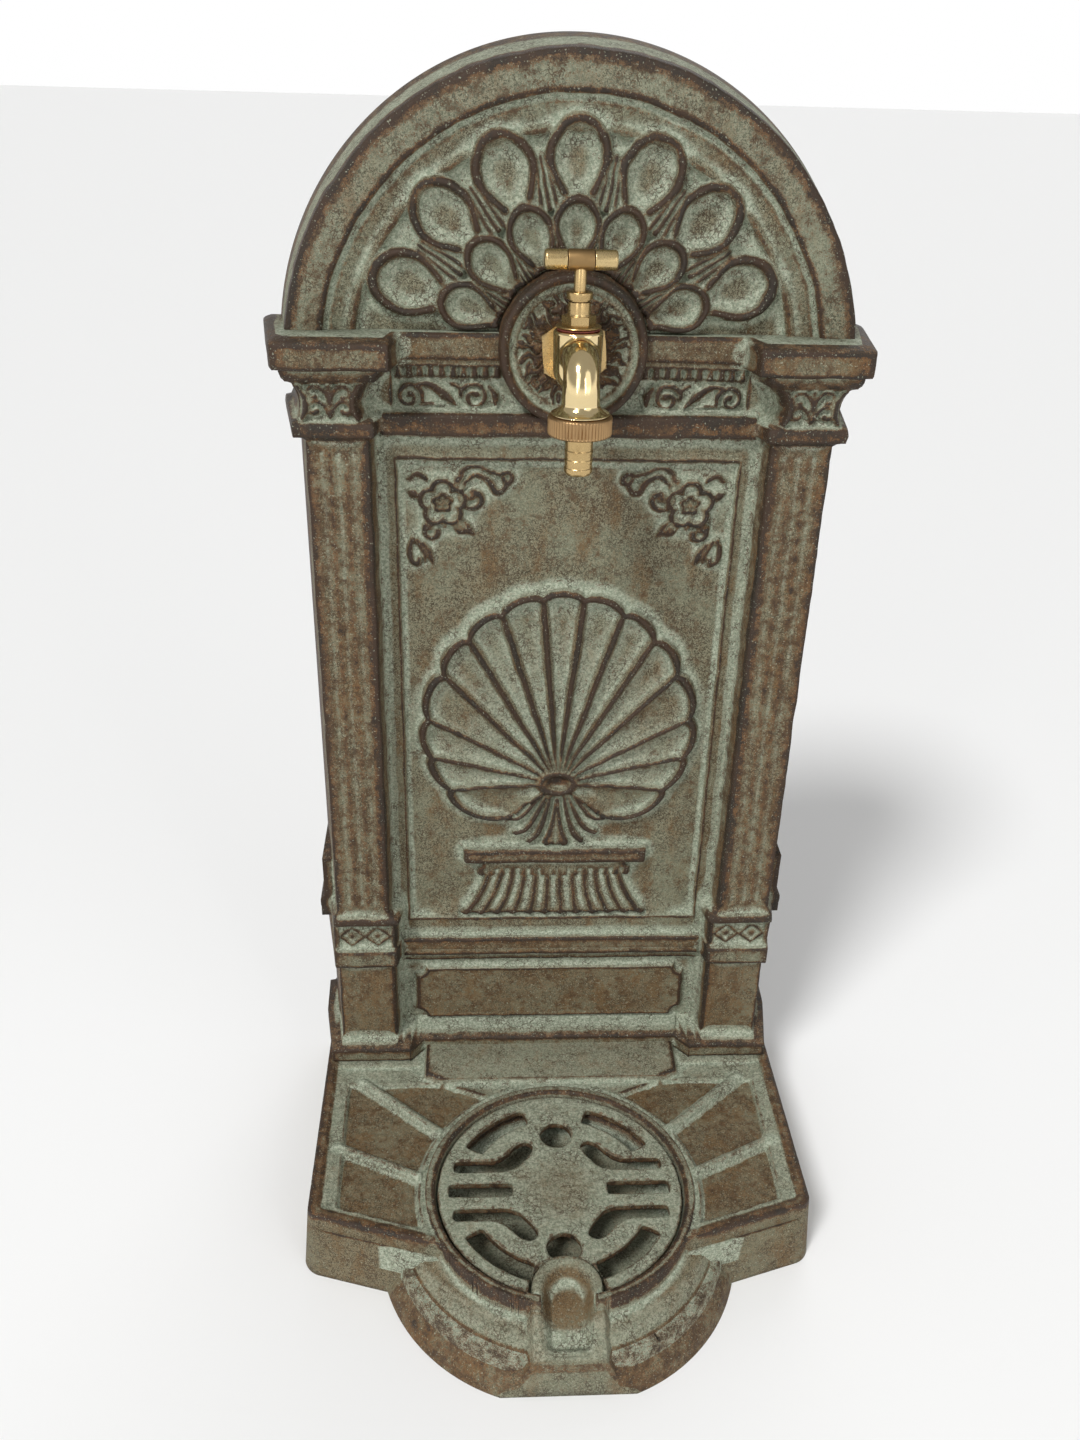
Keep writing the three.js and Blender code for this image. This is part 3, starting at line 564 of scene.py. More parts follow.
def build_panel_body():
    half_columns = lines(0, GRID_HALF, 1.15, COLUMN_EDGES)
    rows = lines(PANEL_LOW, PANEL_HIGH, 1.15, ROW_EDGES + [FLOOR_PLATE])
    outer = np.concatenate([np.linspace(0, 0.5, 14)[1:], np.linspace(0.5, 1, 8)[1:]])
    z = rows[:, None]
    limit = outline_half(z)
    right = np.concatenate([np.broadcast_to(half_columns, (len(rows), len(half_columns))),
                            GRID_HALF + outer[None, :] * (limit - GRID_HALF)], axis=1)
    x = np.concatenate([-right[:, :0:-1], right], axis=1)
    grid_z = np.broadcast_to(z, x.shape)
    h = panel_height(x, grid_z)
    h[:, 0] = h[:, -1] = -BACK
    from_end = np.minimum(grid_z - PANEL_LOW, PANEL_HIGH - grid_z)
    fade = smoothstep(0, 8, from_end) * smoothstep(0, 8, limit - np.abs(x))
    x, grid_z = warp(x, grid_z, 21, 0.55 * fade)
    front = np.stack([x, -h, grid_z], axis=-1)
    whole = np.concatenate([front, back_sections(front, BODY_HALF)], axis=1)
    index = grid_index(whole)
    return make_object("panel_body", whole.reshape(-1, 3), quads_of(index, wrap=True) + end_caps(index))


# ------------------------------------------------------------------ arch
ARCH_Z = 523.5                           # height of the arch's centre
ARCH_REACH = 164.3                       # radius where its drafted side meets the wall plane
ARCH_FACE, BEAD, FAN_REACH = 136.2, 121.5, 119.5
# rings of petals: angles from upright, tip, foot, half-width, where the round end starts, lift
PETALS = (((0, 23.5, 46.5, 70.5), 116.5, 71.0, 17.6, 94.0, 0.0),
          ((0, 22.5, 46.5, 70.0), 77.5, 42.0, 13.2, 62.0, 1.2))


def petal(u, v, tip, foot, half, round_from):
    """Height above the ground of one cupped petal; u runs outwards from the roundel, v across it."""
    over = np.maximum(u - round_from, 0) / (tip - round_from)
    narrowing = half * (1 - 0.60 * smoothstep(0, 1.1, (round_from - u) / (round_from - foot)))
    inside = (1 - np.hypot(over, v / narrowing)) * narrowing
    thick = 0.165 * half
    rim = 7.2 * ridge(inside - thick, thick * 1.12) * smoothstep(foot - 4, foot + 8, u)
    bowl = 3.6 - 3.4 * smoothstep(thick, 3.8 * thick, inside) + 1.2 * smoothstep(round_from, foot, u)
    height = np.where(inside > 0, np.maximum(rim, bowl), NOWHERE)
    return np.where((u > foot) & (u < tip + 1), height, NOWHERE)


def reeds(u, v, low, high, half):
    """A bundle of fine reeds between two petals."""
    spread_at = half * (1.25 - 0.65 * (u - low) / (high - low))
    lanes = np.abs(np.cos(v / spread_at * math.pi * 2.0))
    ends = smoothstep(low - 1, low + 1, u) * (1 - smoothstep(high - 5, high, u))
    mask = smoothstep(0, 1.2, spread_at - np.abs(v)) * ends
    return np.where(mask > 0, mask * (3.4 + 3.0 * lanes), NOWHERE)


def arch_height(x, z):
    """Relief of the arch over its own plane."""
    ground = -8.0
    radius = np.hypot(x, z - ARCH_Z)
    face = 0.5 - 0.5 * ((radius - 146) / 10) ** 2
    h = np.where(radius > ARCH_FACE, face, -2.2 - 3.0 * smoothstep(ARCH_FACE, 121, radius))
    h = h + 1.6 * bell(radius - BEAD, 2.2) - 1.8 * bell(radius - 135.2, 1.3)
    h = np.where(radius < FAN_REACH, np.maximum(ground, -4.5 - 2.2 * (FAN_REACH - radius)), h)
    h = h - DRAFT * np.maximum(0, radius - 156.0) - 0.5 * smoothstep(154.6, 156.2, radius)
    up = z - TAP_Z

    def petal_axes(angle):
        """Outward and sideways distances in a petal's own direction."""
        return x * math.sin(angle) + up * math.cos(angle), x * math.cos(angle) - up * math.sin(angle)

    for angles, tip, foot, half, start, lift in PETALS:
        front_row = tip < 100
        petals = [math.radians(a) for a in angles] + [-math.radians(a) for a in angles[1:]]
        gaps = [math.radians((a + b) / 2) for a, b in zip(angles, angles[1:])]
        for a in gaps + [-a for a in gaps]:
            fan = ground + lift + reeds(*petal_axes(a), foot - 1, start + 6, 0.40 * half)
            h = np.where(fan > -50, fan, h) if front_row else np.maximum(h, fan)
        row = np.full_like(h, NOWHERE)
        for a in petals:
            row = np.maximum(row, ground + lift + petal(*petal_axes(a), tip, foot, half, start))
        h = np.where((row > -90) & front_row, row, np.maximum(h, row))
    return np.maximum(h + roughness_of_casting(x, z, 31), -BACK)


def build_arch():
    radii = lines(0, ARCH_REACH, 1.1, [ARCH_FACE, FAN_REACH, 156.0, BEAD])
    angles = np.linspace(0, math.pi, 420)
    r, a = np.meshgrid(radii, angles)
    x, z = r * np.cos(a), ARCH_Z + r * np.sin(a)
    h = arch_height(x, z)
    h[:, -1] = -BACK + 0.2
    h[:, 0] = h[:, 0].mean()
    fade = smoothstep(0, 10, ARCH_REACH - r) * smoothstep(0, 10, z - ARCH_Z) * smoothstep(0, 10, r)
    x, z = warp(x, z, 23, 0.8 * fade)
    front = np.stack([x, -h, z], axis=-1)
    back = []
    for radius, depth in ((156.0, BACK - 0.2), (149.8, CAVITY + 0.4), (0.0, CAVITY + 0.4)):
        ring = [radius * np.cos(angles), np.full_like(angles, depth), ARCH_Z + radius * np.sin(angles)]
        back.append(np.stack(ring, axis=1))
    whole = np.concatenate([front, np.stack(back, axis=1)], axis=1)
    index = merge_ends(grid_index(whole))
    faces = clean_faces(quads_of(index, wrap=True)) + end_caps(index)
    return make_object("panel_arch", whole.reshape(-1, 3), faces)


# ------------------------------------------------------------------ round castings
def close_round(name, centre, u, v, h, rest, upright=False):
    """A casting swept about a centre: a height map over rings, closed by the rings of rest."""
    whole = np.concatenate([np.stack([u, v, h], axis=-1), np.stack(rest, axis=1)], axis=1)
    if upright:
        whole = np.stack([whole[..., 0], -whole[..., 2], whole[..., 1]], axis=-1)
    whole = whole + np.array(centre)
    index = merge_ends(grid_index(whole))
    index = np.vstack([index, index[:1]])
    return make_object(name, whole.reshape(-1, 3), clean_faces(quads_of(index)))


def level_ring(reach, angles, height):
    return np.stack([reach * np.cos(angles), reach * np.sin(angles), np.full_like(angles, height)], axis=1)


def roundel_height(x, z):
    """Relief of the roundel: two rings of leaves, a groove and a half-round border."""
    radius = np.hypot(x, z)
    angle = np.degrees(np.arctan2(x, z)) + 9 * lumps(x + 60, z + 60, 4, 57)
    ragged = radius + 1.8 * lumps(x + 60, z + 60, 2.6, 58)
    h = np.full_like(x, 4.0)
    for inner, outer, count, shift, base in ((20.0, 30.8, 26, 0.0, 3.0), (16.5, 25.5, 21, 9.0, 4.4)):
        phase = np.abs(np.mod((angle + shift) / 360 * count, 1) - 0.5) * 2
        along = (ragged - inner) / (outer - inner)
        width = 1 - 0.85 * np.clip(along, 0, 1) ** 2.2
        leaf = (along > -0.2) & (along < 1) & (phase < width)
        rise = 0.5 + 0.5 * np.clip(along + 0.3, 0, 1)
        blade = base + 3.6 * ridge(phase, np.maximum(width, 0.05)) * rise - 0.7 * (phase < 0.12)
        h = np.where(leaf, np.maximum(h, blade), h)
    h = np.where(radius > 29.6, np.maximum(h, 5.6 - 1.5 * smoothstep(31.5, 29.6, radius)), h)
    h = h + np.where(radius > 34.5, 4.6 * ridge(radius - 37.6, 3.3), 0)
    h = h - DRAFT * np.maximum(0, radius - 40.5) * 1.5 - 4.0 * smoothstep(39.5, 41, radius)
    return np.maximum(h + roughness_of_casting(x, z, 51), -12.0)


def build_roundel():
    reach, behind_arch = 43.5, -12.5
    angles = np.linspace(0, 2 * math.pi, 420, endpoint=False)
    r, a = np.meshgrid(lines(0, reach, 0.7, [14.5, 30.0, 34.5, 40.6]), angles)
    u, v = r * np.cos(a), r * np.sin(a)
    h = roundel_height(u, v)
    h[:, 0] = h[:, 0].mean()
    rest = [level_ring(radius, angles, behind_arch) for radius in (reach, 0.0)]
    return close_round("panel_roundel", (0, 0, TAP_Z), u, v, h, rest, upright=True)


# ------------------------------------------------------------------ basin
RING_Y = -138.0                          # centre of the bowl
FRONT_Y = -244.5
RING_IN, RING_OUT = 77.9, 84.5
SEAT_Z, TOP_Z = 40.9, 49.0
SKIRT_REACH = 113.5
NOSE = 210.0                             # distance in front of the arch plane of the trough's round end
STEP_BACK, STEP_REACH = 17.0, 103.0      # the ledge's arc: how far its centre is set back, and its radius
SIDE_SPREAD = 4.5                        # how far the basin's foot stands out from its top edge
TRAY_BACK = -47.0                        # where the trays end towards the panel
TONGUE_LINE = ((72.0, -48.5), (34.0, -65.0))   # slanting edge between the tongue and a tray
# ribs: start, end, half-width at the start and at the end
RIBS = (((131.0, -45.0), (72.0, -95.5), 4.4, 3.7), ((142.5, -102.0), (82.0, -131.0), 3.6, 3.6))


def front_reach(angles):
    """Skirt radius in each direction, cut off by the flat front."""
    toward = np.maximum(-np.sin(angles), TINY)
    return np.minimum(SKIRT_REACH, (RING_Y - FRONT_Y) / toward)


def rounded_min(a, b, radius):
    """The smaller of two distances with a rounded corner."""
    u, v = np.maximum(radius - a, 0), np.maximum(radius - b, 0)
    return np.maximum(radius, np.minimum(a, b)) - np.hypot(u, v)


def from_nose(u, y):
    """Distance from the trough's middle line, and from its end on the ring's side."""
    return np.hypot(u, np.maximum(y + NOSE, 0))


def trough_depth(u, y):
    """Distance inwards from the outline of the spout's trough."""
    return rounded_min(15.2 - from_nose(u, y), y + 240.0, 7.0)


def bulge_height(u, v):
    """Bowl, ring, crescent ledge, skirt and spout block around the ring's centre."""
    radius = np.hypot(u, v)
    lip = front_reach(np.arctan2(v, u)) - radius
    h = np.where(radius > 60, 20 + 6 * smoothstep(60, 72, radius), 20.0)
    h = np.where(radius > 72, SEAT_Z, h)
    h = np.where(radius > RING_IN, np.minimum(SEAT_Z + 9 * (radius - RING_IN), TOP_Z), h)
    on_ring = (radius > RING_IN + 0.9) & (radius <= RING_OUT)
    h = np.where(on_ring, TOP_Z + 0.5 * ridge(radius - 81.2, 4.0), h)
    # ledge: an arc set back towards the wall, so that it widens to the front
    inner = np.hypot(u, v - STEP_BACK)
    ledge = 33.0 - 5.0 * np.clip((radius - 88) / 23.5, 0, 1)
    wall = 34.0 + 15.0 * np.clip((STEP_REACH - inner) / 14.0, 0, 1) ** 1.6
    slope = np.where(inner < STEP_REACH, np.maximum(ledge, wall), ledge)
    slope = np.minimum(slope, TOP_Z - 1.6 * (radius - RING_OUT))
    slope = slope + 0.9 * bell(inner - STEP_REACH - 0.8, 1.2) + 0.8 * bell(lip - 3.2, 1.6)
    h = np.where(radius > RING_OUT, slope, h)
    # spout block with its trough, round at the ring and at the lip
    y = v + RING_Y
    block_top = np.interp(y, [FRONT_Y, -241.0, -226.0, -205.0, -185.0], [28.0, 29.5, 41.0, 47.5, 49.6])
    across, trough = from_nose(u, y), trough_depth(u, y)
    fall_away = 2.4 + 4.0 * smoothstep(-219.0, -213.0, y)
    solid = block_top + 1.0 * ridge(trough + 2.6, 2.6) - fall_away * np.maximum(0, across - 20.6)
    h = np.where((y < -180) & (across < 36), np.maximum(h, solid), h)
    floor = np.interp(y, [-241.0, -233.0, -215.0, -193.0], [26.5, 27.5, 35.0, 41.0])
    cup = floor + (block_top - floor) * (1 - smoothstep(-0.6, 6.5, trough))
    h = np.where(trough > -0.6, np.minimum(h, cup), h)
    fall = np.where(lip < 2.0, h * np.clip(lip / 2.0, 0, 1) ** 0.55, h)
    return np.maximum(fall + roughness_of_casting(u + 300, v + 300, 71) * (radius > 72), 0.0)


def build_bulge():
    fine_front = np.linspace(math.radians(240), math.radians(300), 200)
    angles = np.unique(np.concatenate([np.linspace(0, 2 * math.pi, 480, endpoint=False), fine_front]))
    limit = front_reach(angles)
    inner = lines(0, RING_OUT, 1.0, [72.0, 77.9, 79.0, 84.5])
    outer = np.concatenate([np.linspace(0, 0.92, 38)[1:], np.linspace(0.92, 1, 15)[1:]])
    radius = np.concatenate([np.broadcast_to(inner, (len(angles), len(inner))),
                             inner[-1] + outer[None, :] * (limit[:, None] - inner[-1])], axis=1)
    u, v = radius * np.cos(angles[:, None]), radius * np.sin(angles[:, None])
    h = bulge_height(u, v)
    h[:, -1] = 0.0
    h[:, 0] = 20.0
    hollow = ((107.5, 0.0), (105.0, 24.0), (79.0, 27.0), (78.0, 14.0), (0.0, 14.0))
    rest = [level_ring(np.minimum(reach, limit - 6.0), angles, height) for reach, height in hollow]
    return close_round("basin_bowl", (0, RING_Y, 0), u, v, h, rest)


def segment_distance(ax, y, p, q):
    """Distance to a segment and the position along it, 0 to 1."""
    px, py, qx, qy = *p, *q
    length = (qx - px) ** 2 + (qy - py) ** 2
    t = np.clip(((ax - px) * (qx - px) + (y - py) * (qy - py)) / length, 0, 1)
    return np.hypot(ax - px - t * (qx - px), y - py - t * (qy - py)), t


def inside_of(ax, y, p, q):
    """Signed distance to the line from p to q, positive on its left side."""
    (px, py), (qx, qy) = p, q
    return ((qx - px) * (y - py) - (qy - py) * (ax - px)) / math.hypot(qx - px, qy - py)


def tray_edge(ax, y):
    """Distance inwards from the rounded top outline of the basin."""
    side = inside_of(ax, y, (156.5, -155.0), (157.8, 48.0))
    apron = inside_of(ax, y, (73.0, -180.0), (156.5, -155.0))
    return rounded_min(side, apron, 5.0)


def tray_lip(ax, y):
    """Distance inwards from the lip line on the raised floor."""
    side = inside_of(ax, y, (149.3, -150.0), (150.6, -33.0))
    front = inside_of(ax, y, (75.5, -174.0), (149.3, -151.0))
    return rounded_min(side, front, 3.0)


def tray_pit(ax, y):
    """Distance inwards from the edge of the sunk tray floor."""
    side = inside_of(ax, y, (139.0, -149.0), (140.7, TRAY_BACK))
    front = inside_of(ax, y, (80.0, -169.0), (139.0, -150.0))
    slant = inside_of(ax, y, *TONGUE_LINE)
    ring = np.hypot(ax, y - RING_Y)
    return np.minimum(np.minimum(side, front), np.minimum(np.minimum(TRAY_BACK - y, slant), ring - 89.5))


def ribs(ax, y):
    """For each rib: distance from its middle line, and its half-width there."""
    for start, end, wide, narrow in RIBS:
        d, t = segment_distance(ax, y, start, end)
        yield d, wide + (narrow - wide) * t


def rib_distance(ax, y):
    """Distance to the nearer rib's edge, negative on the rib."""
    return np.minimum(*(d - half for d, half in ribs(ax, y)))


def tray_height(ax, y):
    """Raised floor with lips, sunk trays, ribs and the tongue below the panel."""
    ring = np.hypot(ax, y - RING_Y)
    outside_ring = ring > RING_OUT
    edge = tray_edge(ax, y)
    h = TOP_Z - 0.6 * smoothstep(1.2, 0, edge)
    lip = tray_lip(ax, y)
    zone = np.minimum(lip, -30.0 - y)
    band = 48.0 - 0.12 * np.clip(lip, 0, 9)
    h = np.where((zone > 0) & outside_ring, np.minimum(h, np.maximum(band, TOP_Z - 1.2 * zone)), h)
    h = h - np.where(outside_ring, 0.7 * bell(np.minimum(np.abs(lip), 20), 0.8) * (y < -31), 0)
    pit = tray_pit(ax, y)
    wrinkled = 44.4 + 0.45 * lumps(ax + 500, y + 500, 3.1, 95) + 0.3 * lumps(ax + 500, y + 500, 1.7, 96)
    h = np.where(pit > 0, np.maximum(wrinkled, h - 1.8 * pit), h)
    h = h + np.where(outside_ring, 0.5 * bell(pit + 0.9, 0.8), 0)
    for d, half in ribs(ax, y):
        h = np.maximum(h, np.where((pit > -6) & (ring > 88) & (d < half), 44.3 + 5.6 * ridge(d, half), 0))
    tongue = np.minimum(87.5 - ax, np.minimum(y - TRAY_BACK, -inside_of(ax, y, *TONGUE_LINE)))
    tongue_top = np.interp(y, [-60.0, -46.0, -30.0], [49.4, 51.5, 54.0])
    h = np.maximum(h, np.where(tongue > -4, tongue_top + 2.2 * np.minimum(tongue, 0), 0))
    h = h + np.where((ring > 84.9) & (y < TRAY_BACK), 0.7 * ridge(ring - 87.4, 2.6), 0)
    h = np.where(outside_ring & (ring < RING_OUT + 0.8), np.minimum(h, TOP_Z - 0.7), h)
    h = np.where(edge < 0, h + (TOP_Z / SIDE_SPREAD) * edge, h)
    return np.maximum(h + roughness_of_casting(ax + 500, y + 500, 91) * (edge > -2), 0.0)


def tray_limits(y):
    """Half-widths at each depth: the ring side, the brink of the top and the foot of the wall."""
    under_ring = 80.5
    inner = np.sqrt(np.clip(under_ring ** 2 - (y - RING_Y) ** 2, 0, None))
    tries = np.linspace(60, 170, 2201)
    outside = -tray_edge(tries[None, :], y[:, None])
    brink = np.where(outside < -0.4, tries[None, :], 0).max(axis=1)
    outer = np.where(outside < SIDE_SPREAD, tries[None, :], 0).max(axis=1)
    outer = np.maximum(outer, inner + 0.8)
    return inner, np.clip(brink, inner + 0.4, outer - 0.4), outer


def tray_faces(index, mirror, open_rows):
    """Faces of both halves: the surface, the wall beside the ring where there is one, and the two ends."""
    faces = clean_faces(quads_of(index))
    faces += [face[::-1] for face in clean_faces(quads_of(mirror))]
    for i in range(len(index) - 1):
        if open_rows[i] or open_rows[i + 1]:
            for table, flip in ((index, 1), (mirror, -1)):
                quad = [table[i, -1], table[i, 0], table[i + 1, 0], table[i + 1, -1]]
                faces += clean_faces([[int(v) for v in quad[::flip]]])
    for row, flip in ((0, -1), (len(index) - 1, 1)):
        for table, turn in ((index, 1), (mirror, -1)):
            faces += [face[::flip * turn] for face in clean_faces([table[row].tolist()])]
    return faces


def build_trays():
    rear_wall, wall, roof_z = 42.0, 6.0, 38.0
    rows = lines(-184.0, 48.0, 1.0, [-172.5, TRAY_BACK, -41.5, -155.0, -31.0, rear_wall, -57.5])
    wanted = lines(0, 162.4, 1.05, [87.5, 139.0, 149.0, 157.2])
    inner, brink, outer = tray_limits(rows)
    down = np.linspace(0, 1, 16)[None, 1:]
    x = np.concatenate([np.clip(wanted[None, :], inner[:, None], brink[:, None]),
                        brink[:, None] + (outer - brink)[:, None] * down], axis=1)
    y = np.broadcast_to(rows[:, None], x.shape)
    h = tray_height(x, y)
    at_foot = x >= outer[:, None] - TINY
    h = np.where(at_foot, 0.0, h)
    h[:, -1] = 0.0
    roof = np.where(rows > rear_wall, 0.0, roof_z)
    hollow = np.maximum(outer - wall, inner)
    below = ((hollow, 0 * rows), (hollow, roof), (inner, roof))
    under = np.stack([np.stack([reach, rows, height], 1) for reach, height in below], axis=1)
    whole = np.concatenate([np.stack([x, y, h], axis=-1), under], axis=1)
    index = grid_index(whole)
    for i in range(len(rows)):
        for same in (x[i] <= inner[i] + TINY, np.abs(x[i] - brink[i]) < TINY, at_foot[i]):
            columns = np.flatnonzero(same)
            index[i, columns] = index[i, columns[0]]
    points = whole.reshape(-1, 3)
    count = len(points)
    on_middle = np.abs(points[:, 0]) < TINY
    mirror = np.where(on_middle, np.arange(count), np.arange(count) + count)[index]
    both = np.vstack([points, points * [-1, 1, 1]])
    return make_object("basin_trays", *used_only(both, tray_faces(index, mirror, inner > 0)))


# ------------------------------------------------------------------ grate
def curve_plate(name, outlines, low, high, bevel):
    """A flat plate from closed outlines in plan (the first is outside), with rounded edges."""
    curve = bpy.data.curves.new(name, "CURVE")
    curve.dimensions = "2D"
    curve.fill_mode = "BOTH"
    curve.extrude = (high - low) / 2000 - bevel / 1000
    curve.bevel_depth = bevel / 1000
    curve.bevel_resolution = 3
    curve.offset = -bevel / 1000
    for outline in outlines:
        spline = curve.splines.new("POLY")
        spline.points.add(len(outline) - 1)
        for point, (x, y) in zip(spline.points, outline):
            point.co = (x / 1000, y / 1000, 0, 1)
        spline.use_cyclic_u = True
    holder = link(name + "_curve", curve)
    bpy.context.view_layer.update()
    mesh = bpy.data.meshes.new_from_object(holder.evaluated_get(bpy.context.evaluated_depsgraph_get()))
    mesh.transform(Matrix.Translation((0, Y_SHIFT / 1000, (low + high) / 2000)))
    bpy.data.objects.remove(holder)
    work = bmesh.new()
    work.from_mesh(mesh)
    bmesh.ops.remove_doubles(work, verts=work.verts, dist=TINY)
    work.to_mesh(mesh)
    work.free()
    piece = link(name, mesh)
    fuse(piece, 0.0008, 3)
    roughen(piece, 0.45, 61)
    finish_shading(piece)
    return piece


def fuse(piece, voxel, rounds):
    """Remeshes a piece into one closed skin and softens it."""
    remesh = piece.modifiers.new("fuse", "REMESH")
    remesh.mode = "VOXEL"
    remesh.voxel_size = voxel
    piece.modifiers.new("soften", "SMOOTH").iterations = rounds
    apply_modifiers(piece)


def apply_modifiers(piece):
    bpy.context.view_layer.update()
    graph = bpy.context.evaluated_depsgraph_get()
    mesh = bpy.data.meshes.new_from_object(piece.evaluated_get(graph))
    piece.modifiers.clear()
    piece.data = mesh


def roughen(piece, amount, seed):
    """Moves points in and out along their normals by smooth noise."""
    mesh = piece.data
    points, normals = vertex_rows(mesh, "co"), vertex_rows(mesh, "normal")
    x, y, z = (points * 1000).T
    coarse, fine = lumps(x + 0.7 * z + 500, y + 500, 5, seed), lumps(x + 500, y + z + 500, 2.2, seed + 1)
    push = 0.6 * coarse + 0.4 * fine
    mesh.vertices.foreach_set("co", (points + normals * push[:, None] * amount / 1000).ravel())
    mesh.update()


def rounded(points, radius, steps, share=2.1):
    """A polygon with its corners rounded by at most 1/share of a side; corners with x = 0 stay sharp."""
    out = []
    for k in range(len(points)):
        before, here, after = (np.array(points[(k + s) % len(points)], float) for s in (-1, 0, 1))
        if abs(here[0]) < TINY:
            out.append(tuple(here))
            continue
        a, b = before - here, after - here
        r = min(radius, np.linalg.norm(a) / share, np.linalg.norm(b) / share)
        start, end = here + a / np.linalg.norm(a) * r, here + b / np.linalg.norm(b) * r
        for t in np.linspace(0, 1, steps):
            out.append(tuple((1 - t) ** 2 * start + 2 * t * (1 - t) * here + t ** 2 * end))
    return out


def arc(radius, start, end, count, cx=0.0, cy=0.0):
    turns = np.radians(np.linspace(start, end, count))
    return [(cx + radius * math.cos(t), cy + radius * math.sin(t)) for t in turns]


def build_grate():
    low, high, edge = 41.05, 46.9, 0.9
    rim, notch = 76.9, 22.7
    notch_y = -211.0 - RING_Y
    # where the notch circle crosses the rim circle
    cross_y = (rim ** 2 - notch ** 2 + notch_y ** 2) / (2 * notch_y)
    cross_x = math.sqrt(rim ** 2 - cross_y ** 2)
    start = math.degrees(math.atan2(cross_y, cross_x))
    turn = math.degrees(math.atan2(cross_y - notch_y, cross_x))
    outer = arc(rim, start, 180 - start, 120)
    outer += arc(notch, 180 - turn, turn, 24, 0, notch_y)[1:-1]
    outlines = [outer]
    for y in (-43.5, 43.5):
        outlines.append(arc(10.5, 0, 360, 33, 0, y)[:-1])
    slot = arc(69.2, 30, 72, 12) + arc(56.5, 72, 30, 12)
    side = [(30, -5.2), (70, -5.2), (70, 5.2), (30, 5.2)]
    bent = [(67, 14), (67, 23.3), (40, 23.3), (32, 29), (27, 36), (20, 39), (14.5, 35), (18, 27), (26, 17),
            (34, 14)]
    for sx in (-1, 1):
        outlines.append(rounded([(sx * x, y) for x, y in side], 2.0, 4, 2.2))
        for sy in (-1, 1):
            outlines.append(rounded([(sx * x, sy * y) for x, y in slot], 2.0, 3, 2.2))
            outlines.append(rounded([(sx * x, sy * y) for x, y in bent], 3.0, 4, 2.2))
    shifted = [[(x, y + RING_Y) for x, y in outline] for outline in outlines]
    return curve_plate("grate_plate", shifted, low, high, edge)


# ------------------------------------------------------------------ turned and cast tap pieces
HANDLE_Z = 586.0
NO_TURN = Matrix()
ON_INLET = Matrix.Rotation(math.radians(-90), 4, "X")   # +Z of a lathe points to the wall
ALONG_X = Matrix.Rotation(math.radians(90), 4, "Y")
AGAINST_X = Matrix.Rotation(math.radians(-90), 4, "Y")


def lathe(name, section, segments=96, radius_of=None, sharp=35):
    """Turns a closed section of (r, z) points about Z; radius_of(r, z, angle) can shape it further."""
    angles = np.linspace(0, 2 * math.pi, segments, endpoint=False)
    r = np.array([p[0] for p in section], float)[None, :]
    z = np.array([p[1] for p in section], float)[None, :]
    a = angles[:, None]
    full = np.broadcast_to(r, (segments, len(section)))
    if radius_of:
        full = radius_of(full, np.broadcast_to(z, full.shape), np.broadcast_to(a, full.shape))
    points = np.stack([full * np.cos(a), full * np.sin(a), np.broadcast_to(z, full.shape)], axis=-1)
    index = grid_index(points)
    for column in np.flatnonzero(r[0] < TINY):
        index[:, column] = index[0, column]
    index = np.vstack([index, index[:1]])
    faces = clean_faces(quads_of(index, wrap=True))
    return make_object(name, *used_only(points.reshape(-1, 3), faces), sharp)


def move(piece, turn, shift):
    """Turns a piece about the file's origin and shifts it, both in millimetres."""
    home = Matrix.Translation((0, Y_SHIFT / 1000, 0))
    piece.data.transform(home @ Matrix.Translation(Vector(shift) / 1000) @ turn @ home.inverted())
    return piece


def rounded_section(points, radius=0.35, steps=3):
    """A closed lathe section with rounded corners; points on the axis stay sharp."""
    return rounded(points, radius, steps)


def subdivide_section(section, step=0.45):
    """Adds points along the straight runs of a lathe section."""
    out = []
    for k, p in enumerate(section):
        q = section[(k + 1) % len(section)]
        count = max(1, int(math.dist(p, q) / step))
        out += [(p[0] + (q[0] - p[0]) * i / count, p[1] + (q[1] - p[1]) * i / count) for i in range(count)]
    return out


def hexagon_nut(name, across, hole, outer, low, high, radius):
    """A hexagon across the flats between two heights, with chamfered corners and a round hole."""
    chamfer = 0.7

    def radius_of(r, z, a):
        sector = np.mod(a, math.pi / 3) - math.pi / 6
        flat = across / 2 / np.cos(sector)
        cone = across / 2 + chamfer + np.minimum(z - low, high - z) * 1.7
        return np.where(r > across / 2 - 0.6, np.minimum(flat, cone), r)
    section = rounded_section([(hole, low), (outer, low), (outer, high), (hole, high)], radius)
    return lathe(name, subdivide_section(section), 120, radius_of, 30)


def threaded_shank(name):
    """The inlet shank with its thread behind the panel."""
    bore, outside, front, rear, thread_from, pitch = 6.0, 10.4, -11.5, 36.0, 12.0, 1.8

    def thread(r, z, a):
        ripple = 0.32 * (0.5 + 0.5 * np.cos(2 * math.pi * z / pitch - a))
        return np.where((r > outside - 0.4) & (z > thread_from), r - ripple, r)
    section = [(bore, front), (outside, front), (outside, thread_from)]
    section += [(outside, z) for z in np.linspace(thread_from + 0.3, rear - 0.3, 105)]
    return lathe(name, section + [(outside - 0.3, rear), (bore, rear)], 48, thread, 60)


